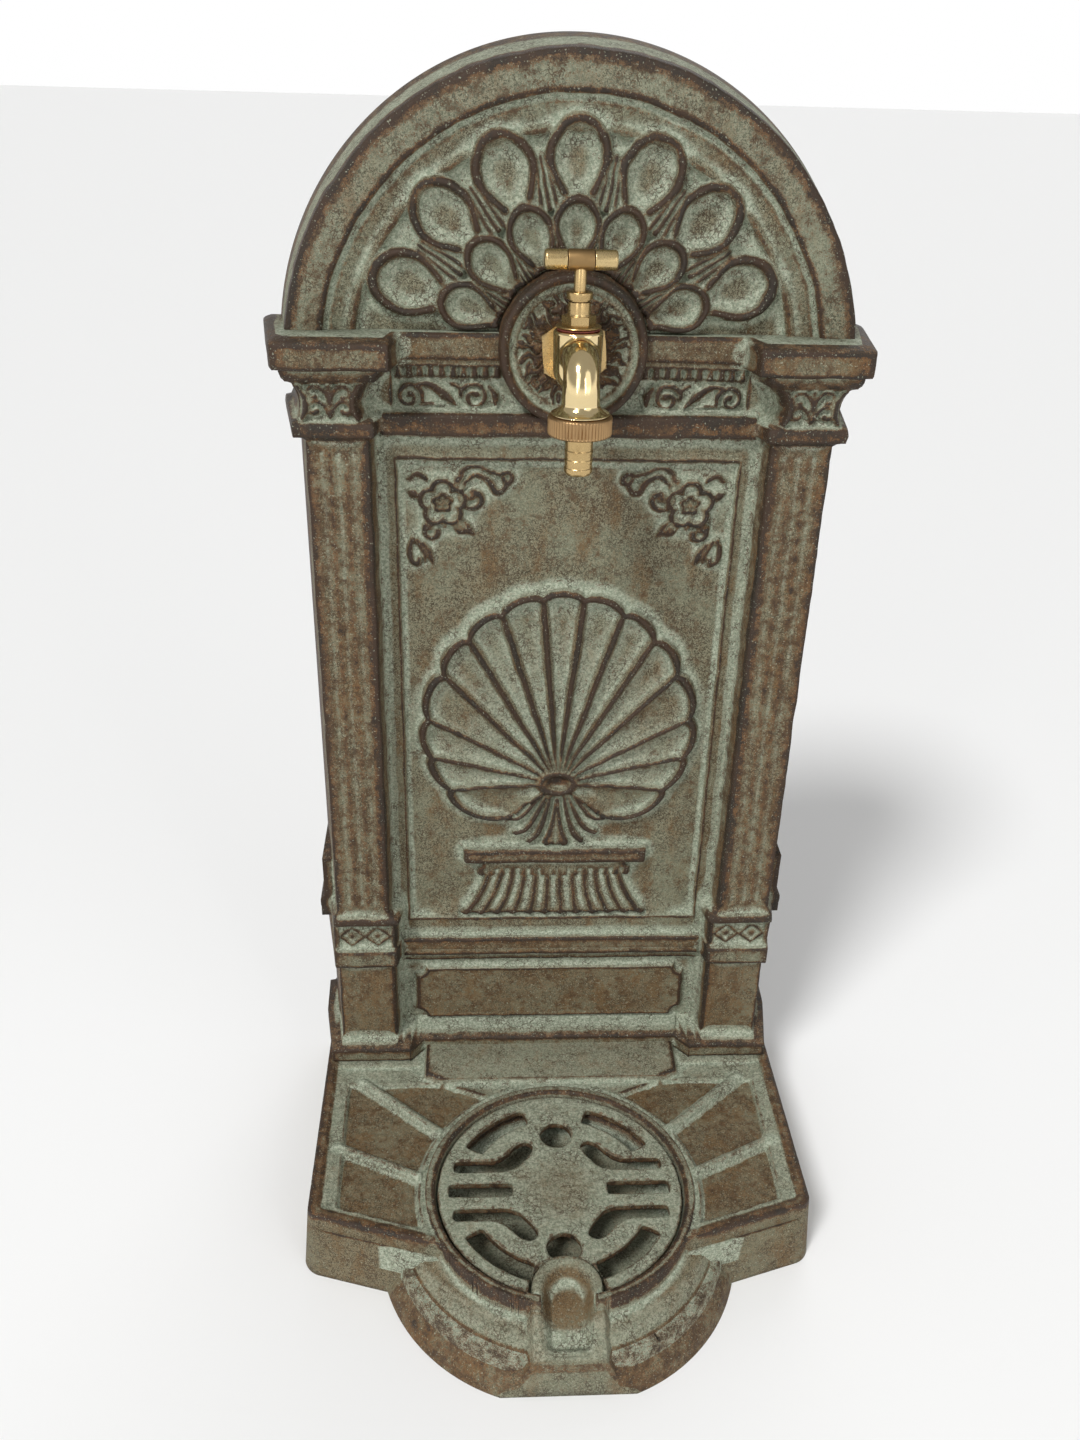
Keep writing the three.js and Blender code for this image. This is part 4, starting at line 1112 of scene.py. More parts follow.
def knurled_ring(name):
    """The union nut: a round rim with knurls, open above for the spout and below for the hose tail."""
    section = [(7.7, 505.8), (15.6, 505.8), (16.4, 506.5), (16.5, 507.2)]
    section += [(16.5, z) for z in np.linspace(507.4, 514.2, 3)]
    section += [(16.4, 515.0), (15.7, 515.8), (13.3, 515.8), (13.3, 511.0), (7.7, 511.0)]

    def knurl(r, z, a):
        groove = 0.65 * (1 - np.abs(np.sin(a * 28))) ** 0.8
        return np.where((r > 16.3) & (z > 507.0) & (z < 514.5), r - groove, r)
    return lathe(name, section, 432, knurl, 50)


def tube(name, path, radii, segments=48):
    """A closed solid bar along a path in the plane x = 0, with a radius at each point."""
    path = np.array(path, float)
    tangent = np.gradient(path, axis=0)
    tangent /= np.linalg.norm(tangent, axis=1)[:, None]
    a = np.linspace(0, 2 * math.pi, segments, endpoint=False)
    rings = []
    for (y, z), (ty, tz), r in zip(path, tangent, radii):
        rings.append(np.stack([r * np.cos(a), y - r * np.sin(a) * tz, z + r * np.sin(a) * ty], axis=1))
    index = grid_index(np.array(rings))
    return make_object(name, np.vstack(rings), quads_of(index, wrap=True) + end_caps(index))


def join_pieces(name, parts):
    work = bmesh.new()
    for part in parts:
        work.from_mesh(part.data)
    mesh = bpy.data.meshes.new(name)
    work.to_mesh(mesh)
    work.free()
    for part in parts:
        bpy.data.objects.remove(part)
    return link(name, mesh)


def build_tap_body():
    """Valve chamber, inlet and spout fused into one smooth casting, with the bore that the valve lifts in."""
    at_bonnet = (0, BONNET_Y, 0)
    spout_z = 540.6
    section = [(0, 520.4)]
    section += [(12.6 * math.sin(t), 533 - 12.6 * math.cos(t)) for t in np.linspace(0.15, 1.5, 12)]
    section += [(12.7, 540), (12.9, 546), (13.0, 550.6), (12.7, 551.6), (12.0, 552.0), (0, 552.0)]
    chamber = move(lathe("chamber", section, 72), NO_TURN, at_bonnet)
    t = np.linspace(0, 1, 26)[1:-1, None]
    start, corner, end = np.array([-46.5, spout_z]), np.array([SPOUT_Y, spout_z]), np.array([SPOUT_Y, 524.5])
    bend = (1 - t) ** 2 * start + 2 * t * (1 - t) * corner + t ** 2 * end
    # the flare at the spout's end: height and radius
    flare = [(519.0, 11.0), (517.6, 13.4), (516.9, 15.2), (516.3, 15.2), (516.1, 13.0), (514.0, 13.0)]
    path = np.vstack([[BONNET_Y, spout_z], start[None], bend, end[None], [SPOUT_Y, 521.0],
                      [[SPOUT_Y, z] for z, _ in flare]])
    plain = len(path) - len(flare)
    along = np.interp(np.arange(plain), [0, 8, 18, plain - 1], [9.8, 9.2, 9.2, 9.8])
    spout = tube("spout", path, np.concatenate([along, [r for _, r in flare]]))
    neck_path = [(BONNET_Y, 535.2), (-26, 535.6), (-16, 536.4), (-11.2, 536.5)]
    neck = tube("neck", neck_path, [11.6, 11.2, 10.6, 10.6])
    casting = join_pieces("tap_casting", [chamber, spout, neck])
    fuse(casting, 0.00042, 9)
    bore = [(0, 522.4), (6.2, 522.4), (8.0, 526.0), (9.4, 530.0), (9.4, 553.0), (0, 553.0)]
    cutter = move(lathe("bore_cutter", bore, 64), NO_TURN, at_bonnet)
    cut = casting.modifiers.new("bore", "BOOLEAN")
    cut.operation = "DIFFERENCE"
    cut.solver = "EXACT"
    cut.object = cutter
    apply_modifiers(casting)
    bpy.data.objects.remove(cutter)
    finish_shading(casting, 40)
    return casting


# plain turned pieces: section, corner radius, steps at a corner
TURNED = {
    "tap_thread_end": ([(5.5, 511.2), (12.9, 511.2), (12.9, 515.4), (9.0, 515.9), (5.5, 515.9)], 0.35, 3),
    "tap_skirt": ([(3.5, 553.3), (11.2, 553.3), (12.0, 553.9), (11.2, 554.6), (9.0, 555.0), (3.5, 555.0)],
                  0.4, 3),
    "tap_bonnet_neck": ([(3.5, 559.3), (6.3, 559.3), (5.85, 560.2), (5.85, 566.0), (3.5, 566.0)], 0.3, 3),
    "tap_gland": ([(3.45, 566.3), (5.3, 566.3), (5.3, 567.3), (6.7, 567.3), (6.7, 570.6), (6.2, 571.0),
                   (3.45, 571.0)], 0.25, 3),
    "tap_stem": ([(0, 553.0), (3.15, 553.0), (3.15, 582.0), (0, 582.0)], 0.2, 3),
    "tap_hub": ([(0, -6.7), (5.0, -6.7), (5.2, -6.3), (5.2, 6.3), (5.0, 6.7), (0, 6.7)], 0.2, 3),
    "tap_arm": ([(0, 7.0), (4.85, 7.0), (4.95, 7.4), (4.95, 17.4), (4.3, 18.4), (0, 18.5)], 0.35, 5),
    "tap_tail": ([(5.2, 485.5), (6.5, 485.5), (7.3, 487.0), (7.45, 489.0), (7.1, 489.4), (7.15, 491.5),
                  (7.45, 493.3), (7.1, 493.8), (7.15, 496.0), (7.45, 498.0), (7.1, 498.5), (7.2, 506.0),
                  (12.6, 508.1), (12.6, 509.3), (5.2, 509.3)], 0.15, 3),
}


def turned(name, kind=None):
    points, radius, steps = TURNED[kind or name]
    return lathe(name, rounded_section(points, radius, steps))


def build_tap():
    """Every visible piece of the tap: its name, the node it replaces and the piece itself."""
    spout, bonnet = (0, SPOUT_Y, 0), (0, BONNET_Y, 0)
    inlet, handle = (0, 0, TAP_Z), (0, BONNET_Y, HANDLE_Z)
    flange_turn = ON_INLET @ Matrix.Rotation(math.radians(25), 4, "Z")
    made = (
        ("tap_body", build_tap_body(), NO_TURN, (0, 0, 0)),
        (None, turned("tap_thread_end"), NO_TURN, spout),
        (None, threaded_shank("tap_inlet"), ON_INLET, inlet),
        ("tap_wall_nut", hexagon_nut("tap_flange", 34, 10.7, 20.2, -11.1, -6.1, 0.5), flange_turn, inlet),
        ("tap_locknut", hexagon_nut("tap_back_nut", 30, 10.7, 17.3, 16.6, 24.6, 0.5), ON_INLET, inlet),
        ("tap_bonnet", turned("tap_skirt"), NO_TURN, bonnet),
        (None, hexagon_nut("tap_bonnet_hex", 15.4, 3.5, 9.0, 554.9, 559.4, 0.3), NO_TURN, bonnet),
        (None, turned("tap_bonnet_neck"), NO_TURN, bonnet),
        ("tap_gland_nut", turned("tap_gland"), NO_TURN, bonnet),
        ("tap_spindle", turned("tap_stem"), NO_TURN, bonnet),
        ("tap_handle_hub", turned("tap_hub"), ALONG_X, handle),
        ("tap_handle_arm_left", turned("tap_arm_left", "tap_arm"), AGAINST_X, handle),
        ("tap_handle_arm_right", turned("tap_arm_right", "tap_arm"), ALONG_X, handle),
        ("tap_union_nut", knurled_ring("tap_knurled_ring"), NO_TURN, spout),
        ("tap_hose_tail", turned("tap_tail"), NO_TURN, spout),
    )
    return [(node, move(piece, turn, shift)) for node, piece, turn, shift in made]


# ------------------------------------------------------------------ materials
def srgb(color):
    """An 8-bit screen colour as linear values."""
    return tuple((c / 255 / 12.92) if c < 10.3 else ((c / 255 + 0.055) / 1.055) ** 2.4 for c in color)


class Nodes:
    """Short calls that add shader nodes to a tree; colours are 8-bit screen colours."""

    def __init__(self, tree):
        self.tree = tree

    def new(self, kind, vector=None, **inputs):
        node = self.tree.nodes.new(kind)
        for name, number in inputs.items():
            node.inputs[name].default_value = number
        if vector is not None:
            self.tree.links.new(vector, node.inputs["Vector"])
        return node

    def feed(self, socket, value):
        """Sets a socket to a colour or a number, or links it."""
        if isinstance(value, tuple):
            socket.default_value = (*srgb(value), 1.0)
        elif isinstance(value, (int, float)):
            socket.default_value = value
        else:
            self.tree.links.new(value, socket)

    def where(self):
        return self.new("ShaderNodeTexCoord").outputs["Object"]

    def attribute(self, name):
        node = self.new("ShaderNodeAttribute")
        node.attribute_name = name
        return node.outputs["Fac"]

    def noise(self, scale, detail, vector, roughness=0.6):
        node = self.new("ShaderNodeTexNoise", vector, Scale=scale, Detail=detail, Roughness=roughness)
        return node.outputs["Fac"]

    def ramp(self, value, low, high, low_out=0.0, high_out=1.0):
        node = self.new("ShaderNodeMapRange")
        node.interpolation_type = "SMOOTHSTEP"
        for name, number in zip(("From Min", "From Max", "To Min", "To Max"), (low, high, low_out, high_out)):
            node.inputs[name].default_value = number
        self.feed(node.inputs["Value"], value)
        return node.outputs["Result"]

    def calculate(self, operation, a, b, clamp):
        node = self.new("ShaderNodeMath")
        node.operation = operation
        node.use_clamp = clamp
        self.feed(node.inputs[0], a)
        self.feed(node.inputs[1], b)
        return node.outputs["Value"]

    def add(self, a, b, clamp=False):
        return self.calculate("ADD", a, b, clamp)

    def times(self, a, b, clamp=False):
        return self.calculate("MULTIPLY", a, b, clamp)

    def around_zero(self, value, gain):
        """A noise value of about a half turned into a signed one."""
        return self.times(self.calculate("SUBTRACT", value, 0.5, False), gain)

    def mix(self, factor, a, b):
        node = self.new("ShaderNodeMix")
        node.data_type = "RGBA"
        for name, value in (("Factor", factor), ("A", a), ("B", b)):
            self.feed(node.inputs[name], value)
        return node.outputs["Result"]

    def bump(self, shader, height, strength, distance):
        node = self.new("ShaderNodeBump", Strength=strength, Distance=distance)
        self.feed(node.inputs["Height"], height)
        self.feed(shader.inputs["Normal"], node.outputs["Normal"])


def new_material(name):
    made = bpy.data.materials.new(name)
    made.use_nodes = True
    return made, Nodes(made.node_tree), made.node_tree.nodes["Principled BSDF"]


def cracks(n, where):
    """Closeness to the edges of small bent cells, from 0 to 1."""
    cells = n.new("ShaderNodeTexVoronoi", Scale=330, Randomness=1.0)
    cells.feature = "DISTANCE_TO_EDGE"
    sway = n.new("ShaderNodeTexNoise", where, Scale=260)
    small = n.new("ShaderNodeVectorMath")
    small.operation = "SCALE"
    small.inputs["Scale"].default_value = 0.006
    n.feed(small.inputs[0], sway.outputs["Color"])
    bent = n.new("ShaderNodeVectorMath")
    bent.operation = "ADD"
    n.feed(bent.inputs[0], where)
    n.feed(bent.inputs[1], small.outputs["Vector"])
    n.feed(cells.inputs["Vector"], bent.outputs["Vector"])
    return n.ramp(cells.outputs["Distance"], 0.10, 0.03)


def patina(name):
    """Sage paint, mint in the hollows, rubbed through to brown on the edges, stained with ochre."""
    made, n, shader = new_material(name)
    where = n.where()
    fine, broad = n.attribute("relief_fine"), n.attribute("relief_broad")
    dark_paint_and_shade, mint_paint_and_light, ochre_paint = (n.attribute(f"paint_{kind}") for kind in ("dark", "mint", "ochre"))
    dust = n.noise(1500, 2, where)
    grain = n.noise(560, 4, where, 0.75)
    coarse = n.noise(150, 5, where, 0.7)
    drawn_out = n.new("ShaderNodeMapping", where, Scale=(1.0, 1.0, 0.32)).outputs["Vector"]
    streak = n.noise(60, 5, drawn_out, 0.65)
    patch = n.noise(24, 4, where)
    # sage ground with dense fine speckle
    mottle = n.add(n.times(dust, 0.55), n.times(grain, 0.45))
    ground = n.mix(n.ramp(mottle, 0.43, 0.55), (64, 57, 41), (133, 131, 108))
    ground = n.mix(n.ramp(patch, 0.40, 0.66, 0.0, 0.45), ground, (132, 138, 116))
    brown = n.add(n.ramp(streak, 0.47, 0.70), n.ramp(coarse, 0.50, 0.72, 0.0, 0.5))
    brown = n.times(n.add(brown, ochre_paint), n.ramp(grain, 0.36, 0.58, 0.25, 1.0), True)
    ground = n.mix(n.times(brown, 0.72), ground, (106, 76, 40))
    # mint left thick in the hollows, and painted light as mint on faces turned up, from paint_mint
    hollow = n.add(n.ramp(broad, -0.10, -0.95), n.ramp(fine, -0.05, -0.28, 0.0, 0.5))
    hollow = n.times(n.add(hollow, mint_paint_and_light), n.ramp(coarse, 0.30, 0.56, 0.45, 1.0), True)
    hollow = n.times(hollow, n.ramp(mottle, 0.42, 0.52, 0.7, 1.0))
    mint = n.mix(n.ramp(grain, 0.4, 0.62), (136, 146, 126), (178, 184, 164))
    colour = n.mix(hollow, ground, mint)
    # brown glaze, then dark metal, on whatever stands proud, and painted shade on faces turned down, from
    # paint_dark
    raised = n.add(n.ramp(fine, 0.0, 0.42, 0.0, 0.78), n.ramp(broad, 0.3, 1.9, 0.0, 0.40))
    wear = n.add(n.add(raised, dark_paint_and_shade), n.add(n.around_zero(mottle, 2.6), n.around_zero(coarse, 2.0)))
    glaze = n.mix(n.ramp(coarse, 0.42, 0.6), (112, 75, 42), (86, 63, 40))
    colour = n.mix(n.ramp(wear, 0.14, 0.44, 0.0, 0.85), colour, glaze)
    metal_brown = n.mix(n.ramp(streak, 0.42, 0.6), (56, 41, 30), (41, 36, 30))
    colour = n.mix(n.ramp(wear, 0.38, 0.80, 0.0, 0.94), colour, metal_brown)
    # fine cracks in the thick paint
    crack = n.times(cracks(n, where), n.ramp(n.noise(70, 3, where), 0.46, 0.60, 0.05, 0.75))
    colour = n.mix(crack, colour, (66, 50, 34))
    # stray specks of dark and of pale paint
    speck = n.noise(900, 2, where, 0.5)
    colour = n.mix(n.ramp(speck, 0.63, 0.69, 0.0, 0.55), colour, (54, 44, 33))
    colour = n.mix(n.ramp(speck, 0.36, 0.30, 0.0, 0.50), colour, (172, 176, 154))
    n.feed(shader.inputs["Base Color"], colour)
    n.feed(shader.inputs["Roughness"], n.ramp(wear, 0.2, 0.9, 0.70, 0.50))
    shader.inputs["Metallic"].default_value = 0.0
    shader.inputs["Specular IOR Level"].default_value = 0.30
    n.bump(shader, n.add(n.times(grain, 0.8), n.times(coarse, 0.9)), 0.85, 0.0010)
    return made


def metal(name, color, dark, roughness, blotch, bump_strength=0.01, scale=300):
    """Brass or steel with a little tarnish and fine unevenness."""
    made, n, shader = new_material(name)
    where = n.where()
    tarnish = n.ramp(n.noise(90, 4, where), 0.45, 0.75, 0.0, blotch)
    n.feed(shader.inputs["Base Color"], n.mix(tarnish, color, dark))
    shader.inputs["Metallic"].default_value = 1.0
    sheen = n.ramp(n.noise(scale * 4, 3, where), 0.3, 0.7, roughness * 0.94, roughness * 1.08)
    n.feed(shader.inputs["Roughness"], sheen)
    n.bump(shader, n.noise(scale, 3, where), bump_strength, 0.0003)
    return made


def matte(name, color, other, scale=400):
    """Rubber, fibre or yarn with a fine grain."""
    made, n, shader = new_material(name)
    grain = n.noise(scale, 4, n.where())
    n.feed(shader.inputs["Base Color"], n.mix(n.ramp(grain, 0.35, 0.65), color, other))
    n.feed(shader.inputs["Roughness"], n.ramp(grain, 0.3, 0.7, 0.65, 0.85))
    return made


iron = patina("aged_iron")
bright = metal("polished_brass", (243, 220, 168), (212, 180, 122), 0.13, 0.2)
brushed = metal("brushed_brass", (210, 186, 136), (168, 138, 90), 0.28, 0.4)
satin = metal("satin_brass", (200, 172, 122), (146, 116, 74), 0.28, 0.4)
dull = metal("dull_brass", (172, 140, 100), (120, 92, 64), 0.40, 0.5, 0.15)
aged = metal("aged_brass", (152, 124, 84), (108, 86, 56), 0.42, 0.5, 0.05)
zinc = metal("zinc_steel", (150, 152, 154), (92, 90, 88), 0.38, 0.4, 0.08)
rubber = matte("black_rubber", (24, 24, 24), (38, 37, 36))
fibre = matte("red_fibre", (122, 56, 40), (92, 40, 30))
yarn = matte("greased_yarn", (176, 168, 150), (130, 122, 104), 900)
SLOT_LOOK = {"iron": iron, "bright_brass": bright, "satin_brass": satin, "dull_brass": dull, "steel": zinc,
             "rubber": rubber, "fibre": fibre, "packing": yarn}
for entry in frame["record"]["subparts"]:
    node = frame["nodes"].get(entry["node"])
    if node:
        node.data.materials.clear()
        node.data.materials.append(SLOT_LOOK[entry["material_slot"]])


# ------------------------------------------------------------------ paint
def within(value, low, high, soft=2.0):
    return smoothstep(low - soft, low, value) * (1 - smoothstep(high, high + soft, value))


def blend(*zones):
    """The dark, mint and ochre amounts of zones given as (mask, dark, mint, ochre)."""
    return [sum(zone[0] * zone[kind] for zone in zones) for kind in (1, 2, 3)]


def bare_back(paint, y, covered):
    """Swaps the paint for plain brown iron on the hollow back of the panel, which was never painted."""
    back = (y > 12.5) * covered
    return [amount * (1 - back) + plain * back for amount, plain in zip(paint, (0.30, -1.5, 0.45))]


def panel_coat(x, y, z, tilt):
    """Painted light as mint on what faces up, painted shade as brown under what faces down."""
    hub = 1 - smoothstep(0.35, 0.75, np.hypot(x / HUB_HALF[0], (z - HUB_Z) / HUB_HALF[1]))
    shell_at = 1 - smoothstep(116, 122, np.hypot(x, z - HUB_Z))
    lobes = shell_at * (z > HUB_Z - 0.9 * x) * (z > 215) * (y > -1)
    paint = blend(
        # painted shade: brown on faces turned down
        (0.55 * smoothstep(-0.15, -0.75, tilt), 1.0, 0.0, 0.0),                            # facing down
        # painted light: mint on faces turned up
        (0.75 * smoothstep(0.25, 0.8, tilt), -0.8, 1.0, 0.0),                              # facing up
        (within(x, 108, 147) * within(z, 168, 492), 0.20, 0.0, 0.30),                      # pilaster
        (smoothstep(2, 14, y) * (x > 148.2), 0.26, 0.0, 0.45),                             # side wall
        (within(x, -1, 96) * within(z, 66, 112), 0.14, 0.0, 0.60),                         # low panel
        (within(x, 106, 150) * within(z, 60, 128), 0.12, 0.0, 0.70),                       # pedestal
        (within(z, 490, 503) + within(z, 529, 545), 0.12, 0.0, 0.45),                      # cornice
        (within(z, 490, 501, 1.0) * (x < 109), 0.38, 0.0, 0.0),                            # architrave
        (within(z, 127, 141, 1.0) * (x < 106), 0.16, 0.0, 0.45),                           # kerb
        (within(x, 98, 107) * within(z, 141, 490) + within(z, 476, 490) * (x < 104), -0.05, 0.05, 0.20),
        # painted shade: the hub's deep hollow painted dark, with its mint taken out
        (hub, 0.8, -1.5, 0.0),
        (lobes, 0.0, -0.30, 0.0),
        (z < 470, 0.0, -0.10, 0.10),
    )
    return bare_back(paint, y, x < 148.2)


def arch_coat(x, y, z, tilt):
    radius = np.hypot(x, z - ARCH_Z)
    side = smoothstep(2, 8, y) * smoothstep(154, 157, radius)
    petals = radius < 119
    # under is painted shade on faces turned down, over is painted light on faces turned up
    under, over = 0.55 * smoothstep(-0.15, -0.75, tilt), 0.75 * smoothstep(0.25, 0.8, tilt)
    paint = blend(
        (within(radius, 137, 155), 0.12, 0.20, -0.20),                                     # face band
        (side, -0.60, 0.45, 0.10),
        # painted light: mint on the side's faces turned up
        (side * over, 0.0, 0.45, 0.0),
        (petals, 0.0, 0.0, -0.25),
        # painted shade: dark on petal faces turned down
        (petals * under, 0.3, 0.0, 0.0),
        # painted light: mint on petal faces turned up
        (petals * over, 0.0, 0.5, 0.0),
        (petals * smoothstep(3.4, 1.2, y), 0.24, -0.2, 0.0),                               # petal crests
    )
    return bare_back(paint, y, radius < 156.4)


def roundel_coat(x, y, z, tilt):
    radius = np.hypot(x, z - TAP_Z)
    return blend(
        (within(radius, 15, 30) * smoothstep(-3.6, -5.2, y), 0.50, -0.3, 0.0),             # wreath
        (smoothstep(34.5, 36, radius), 0.25, 0.0, 0.0),                                    # border
        (within(radius, 31, 34), 0.0, 0.55, 0.0),                                          # groove
        (1.0 + 0 * x, 0.0, 0.0, 0.4),
    )


def basin_coat(x, y, z, tilt):
    """Ochre tray floors, mint bevels, ribs and ring border, brown strips and skirt."""
    ring = np.hypot(x, y - RING_Y)
    edge, lip, pit = tray_edge(x, y), tray_lip(x, y), tray_pit(x, y)
    skirt_top = 26.5
    front = (y < -178) * smoothstep(85.5, 87.5, ring)
    high_front = front * (z >= skirt_top)
    face_front = (y < FRONT_Y + 1.0) * 1.0
    on_top = (edge > 0.8) * (ring > 84.6) * (1 - front) * (z > 42)
    rib = on_top * smoothstep(0.6, -0.4, rib_distance(x, y)) * (pit > -6) * (ring > 88) * (z > 44.6)
    tongue = on_top * within(x, -1, 87) * (pit < 0.5) * (y > -70) * (ring > 87)
    border = on_top * within(ring, 85.2, 89.5, 0.6) * (y < -50)
    bevel = on_top * smoothstep(0.8, 1.8, lip) * (1 - smoothstep(0.4, 2.2, pit))
    bevel = bevel * (1 - tongue) * (1 - border)
    line = on_top * bell(np.minimum(np.abs(lip), 20), 1.0) * (y < -31)
    step_at = np.hypot(x, y - RING_Y - STEP_BACK)
    level = smoothstep(0.15, 0.5, tilt)
    beyond = smoothstep(STEP_REACH - 1, STEP_REACH + 2, step_at)
    plate = high_front * beyond * level
    far = smoothstep(-216, -230, y + 2.5 * lumps(x + 90, y + 90, 4, 97))
    trough = (y < -180) * smoothstep(-1.0, 3.0, trough_depth(x, y)) * (z > 20)
    return blend(
        (on_top * smoothstep(0.6, 2.2, pit) * (1 - rib), 0.10, -0.6, 0.70),                # tray floor
        (rib, -0.9, 0.95, 0.0),
        (border, -0.6, 0.8, 0.0),
        (bevel, -0.5, 0.65, 0.15),
        (on_top * (lip < -0.6), 0.18, -0.2, 0.45),                                         # strip at the edge
        (line, 0.5, 0.0, 0.0),
        (tongue, 0.0, 0.4, 0.25),
        (within(ring, 78, 84.4, 0.5) * (z > 46.5), -0.35, 0.45, 0.1),                      # rim
        ((ring < 77) * 1.0, -0.5, 0.35, 0.0),                                              # bowl
        ((edge <= 0.4) * (ring > 86) * (1 - front) * (z < 48.2), -0.12, -0.05, 0.55),      # apron
        (front * (z < skirt_top) * (1 - face_front), 0.34, -0.1, 0.60),                    # skirt
        (plate, -0.50, 0.50, 1.0),
        (plate * smoothstep(103, 114, step_at), 0.0, 0.0, -0.8),
        (high_front * (1 - beyond) * level, -0.35, 0.08, 0.6),                             # inner slope
        (high_front * (1 - level), -0.2, 0.0, 0.0),                                        # cheeks
        (face_front, -0.22, 0.12, 0.2),
        ((y < -180) * within(x, -1, 24, 1.0) * (z > 27), -0.4, 0.0, 0.2),                  # spout block
        (trough, 0.0, -0.4, 1.0),
        (trough * far, 0.0, 0.95, -0.9),
    )


def basin_keep(x, y, z):
    """How much of the relief's wear the basin keeps: little on walls, tray floors and the front."""
    ring = np.hypot(x, y - RING_Y)
    wall = np.where(ring > 116, smoothstep(40, 47, z), smoothstep(14, 27, z))
    floor = smoothstep(0.5, 3.0, tray_pit(x, y)) * (rib_distance(x, y) > 1.5) * (ring > 90)
    return wall * (1 - 0.7 * floor) * np.where((y < -178) & (ring > 85), 0.4, 1.0)


def grate_coat(x, y, z, tilt):
    rust = 1 - smoothstep(8, 34, np.hypot(x, y - RING_Y))
    top = smoothstep(45.0, 46.2, z)
    return blend((1.0 + 0 * x, 0.40, 0.0, 0.0), (top, -0.72, 0.80, 0.30), (rust, 0.04, -0.30, 0.0),
                 (rust * top, 0.0, 0.0, 0.65))


def coat(piece, rules):
    """Stores paint: dark, mint and ochre amounts from rules(x, y, z, upward tilt)."""
    # paint_dark also holds painted shade on faces turned down, paint_mint painted light on faces turned up
    mesh = piece.data
    x, y, z = vertex_rows(mesh, "co").T * 1000
    tilt = vertex_rows(mesh, "normal")[:, 2]
    amounts = rules(np.abs(x), y - Y_SHIFT, z, tilt)
    for name, amount in zip(("paint_dark", "paint_mint", "paint_ochre"), amounts):
        store(mesh, name, np.broadcast_to(amount, x.shape))


# ------------------------------------------------------------------ pieces on their bodies
def dress(piece, look, body, node=None):
    piece.data.materials.clear()
    piece.data.materials.append(look)
    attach(piece, body)
    if node:
        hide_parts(node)


castings = [
    (build_panel_body(), "fountain", "back_panel", panel_coat, None),
    (build_arch(), "fountain", None, arch_coat, None),
    (build_roundel(), "fountain", None, roundel_coat, None),
    (build_trays(), "fountain", "basin", basin_coat, basin_keep),
    (build_bulge(), "fountain", None, basin_coat, basin_keep),
    (build_grate(), "grate", "grate", grate_coat, None),
]
for piece, body, node, rules, keep in castings:
    mark_relief(piece, keep)
    coat(piece, rules)
    dress(piece, iron, body, node)

TAP_BODY = {"tap_stem": "spindle", "tap_hub": "spindle", "tap_arm_left": "spindle",
            "tap_arm_right": "spindle", "tap_knurled_ring": "union_nut", "tap_tail": "hose_tail"}
TAP_LOOK = {"tap_casting": ("bright_brass", bright), "tap_arm_left": ("bright_brass", brushed),
            "tap_arm_right": ("bright_brass", brushed), "tap_hub": ("dull_brass", aged),
            "tap_knurled_ring": ("dull_brass", dull)}
for node, piece in build_tap():
    slot, look = TAP_LOOK.get(piece.name, ("satin_brass", satin))
    dress(piece, look, TAP_BODY.get(piece.name, "fountain"), node)


# ------------------------------------------------------------------ studio and camera
def facing(direction):
    return Vector(direction).to_track_quat("-Z", "Y").to_euler()


def sun(name, come_from, power, spread_degrees):
    """A distant soft light shining from a direction."""
    lamp = bpy.data.lights.new(name, "SUN")
    lamp.energy = power
    lamp.angle = math.radians(spread_degrees)
    link(name, lamp).rotation_euler = facing(-Vector(come_from))


def soft_box(name, place_at, aim, size, power):
    """A near rectangular light."""
    lamp = bpy.data.lights.new(name, "AREA")
    lamp.shape = "RECTANGLE"
    lamp.size, lamp.size_y = size
    lamp.energy = power
    holder = link(name, lamp)
    holder.location = place_at
    holder.rotation_euler = facing(Vector(aim) - Vector(place_at))


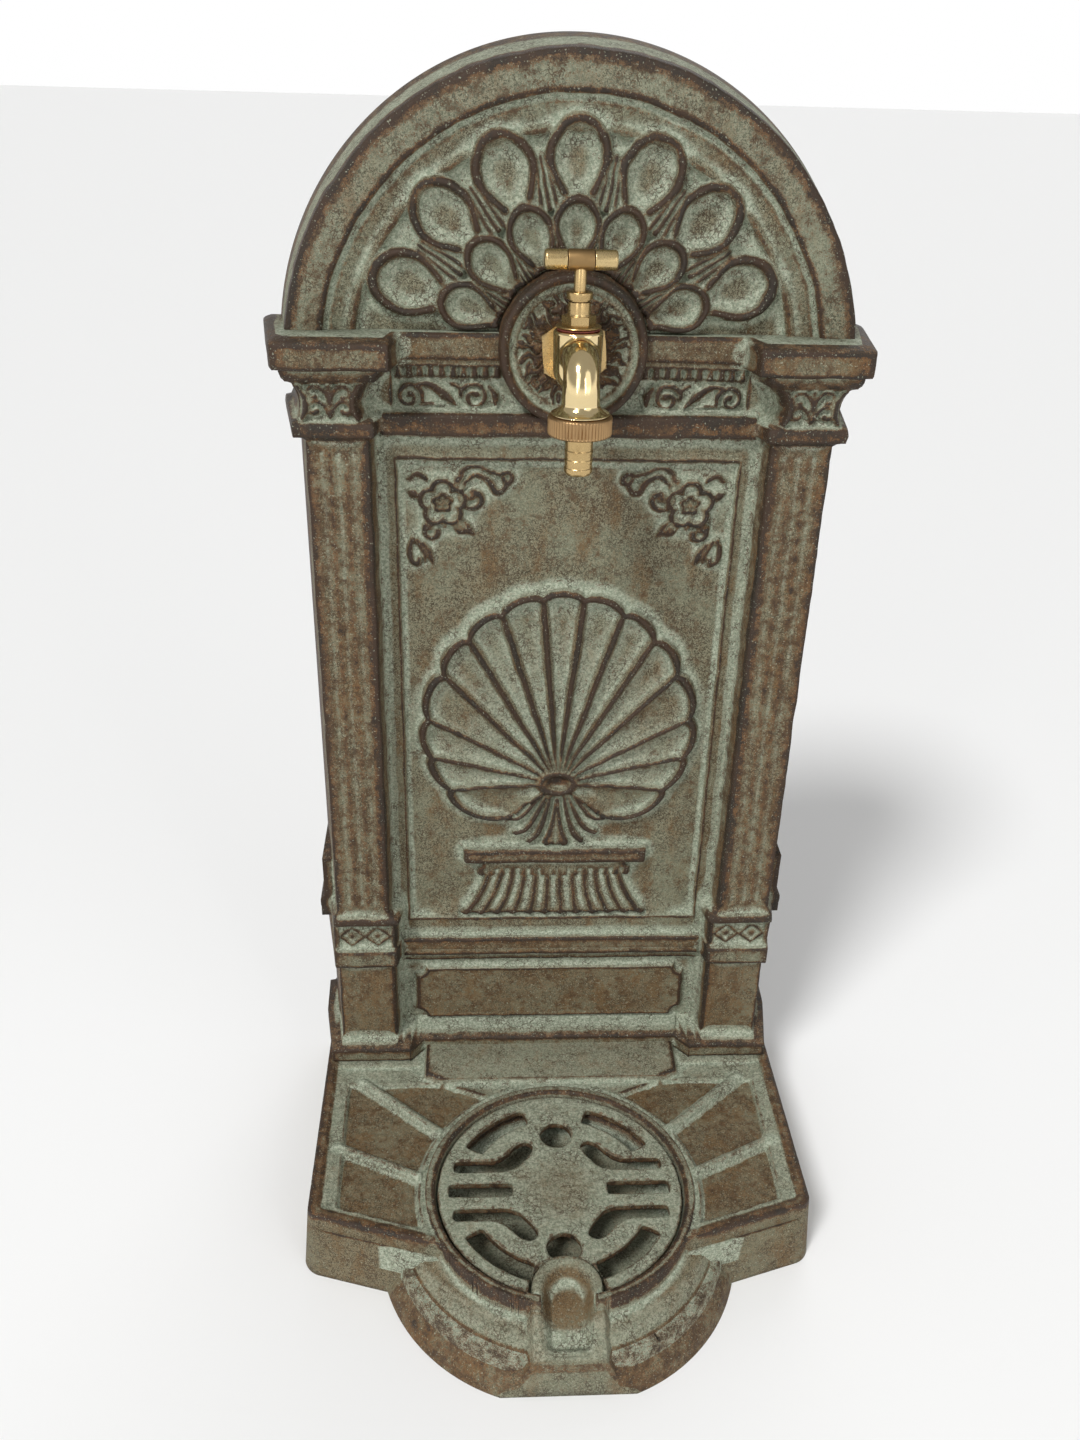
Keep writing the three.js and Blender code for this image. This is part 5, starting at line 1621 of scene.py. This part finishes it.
floor_mesh = bpy.data.meshes.new("floor")
reach = 60.0
corners = [(-reach, -reach, 0), (reach, -reach, 0), (reach, reach, 0), (-reach, reach, 0)]
floor_mesh.from_pydata(corners, [], [(0, 1, 2, 3)])
floor = link("floor", floor_mesh)
floor_look, _, floor_shader = new_material("pale_floor")
floor_shader.inputs["Base Color"].default_value = (0.88, 0.88, 0.875, 1)
floor_shader.inputs["Roughness"].default_value = 0.9
floor_mesh.materials.append(floor_look)

# a sky that is dim overhead and bright along the horizon, as a studio's walls are
world = bpy.data.worlds.new("studio")
bpy.context.scene.world = world
world.use_nodes = True
sky = Nodes(world.node_tree)
direction = sky.new("ShaderNodeSeparateXYZ", sky.new("ShaderNodeTexCoord").outputs["Generated"])
background = world.node_tree.nodes["Background"]
sky.feed(background.inputs["Strength"], sky.ramp(direction.outputs["Z"], 0.28, 0.10, 0.36, 1.0))
background.inputs["Color"].default_value = (1.0, 1.0, 1.0, 1)
sun("key", (-0.62, -0.8, 1.2), 2.0, 14)
sun("fill", (0.9, -1.0, 0.55), 0.30, 40)
sun("rear", (0.3, 1.0, 0.8), 0.45, 40)
soft_box("window", (-0.5, -1.0, 1.1), (0, 0, 0.5), (0.5, 0.7), 1.6)
for side in (-1, 1):
    soft_box(f"strip_{side}", (0.42 * side - 0.05, -0.85, 0.85), (0, 0, 0.54), (0.07, 0.5), 0.7)

camera_data = bpy.data.cameras.new("camera")
camera_data.lens = 30.09
camera_data.sensor_width = 36.0
camera_data.clip_start = 0.01
camera = link("camera", camera_data)
pitch, yaw, roll = (math.radians(v) for v in (27.89, 3.49, 1.58))
forward = Vector((math.sin(yaw) * math.cos(pitch), math.cos(yaw) * math.cos(pitch), -math.sin(pitch)))
level_right = Vector((math.cos(yaw), -math.sin(yaw), 0))
level_up = level_right.cross(forward)
right = math.cos(roll) * level_right + math.sin(roll) * level_up
up = -math.sin(roll) * level_right + math.cos(roll) * level_up
rotation = Matrix((right, up, -forward)).transposed().to_4x4()
camera.matrix_world = Matrix.Translation((-0.0532, -0.5720, 0.6637)) @ rotation
bpy.context.scene.camera = camera
bpy.context.scene.view_settings.view_transform = "Standard"
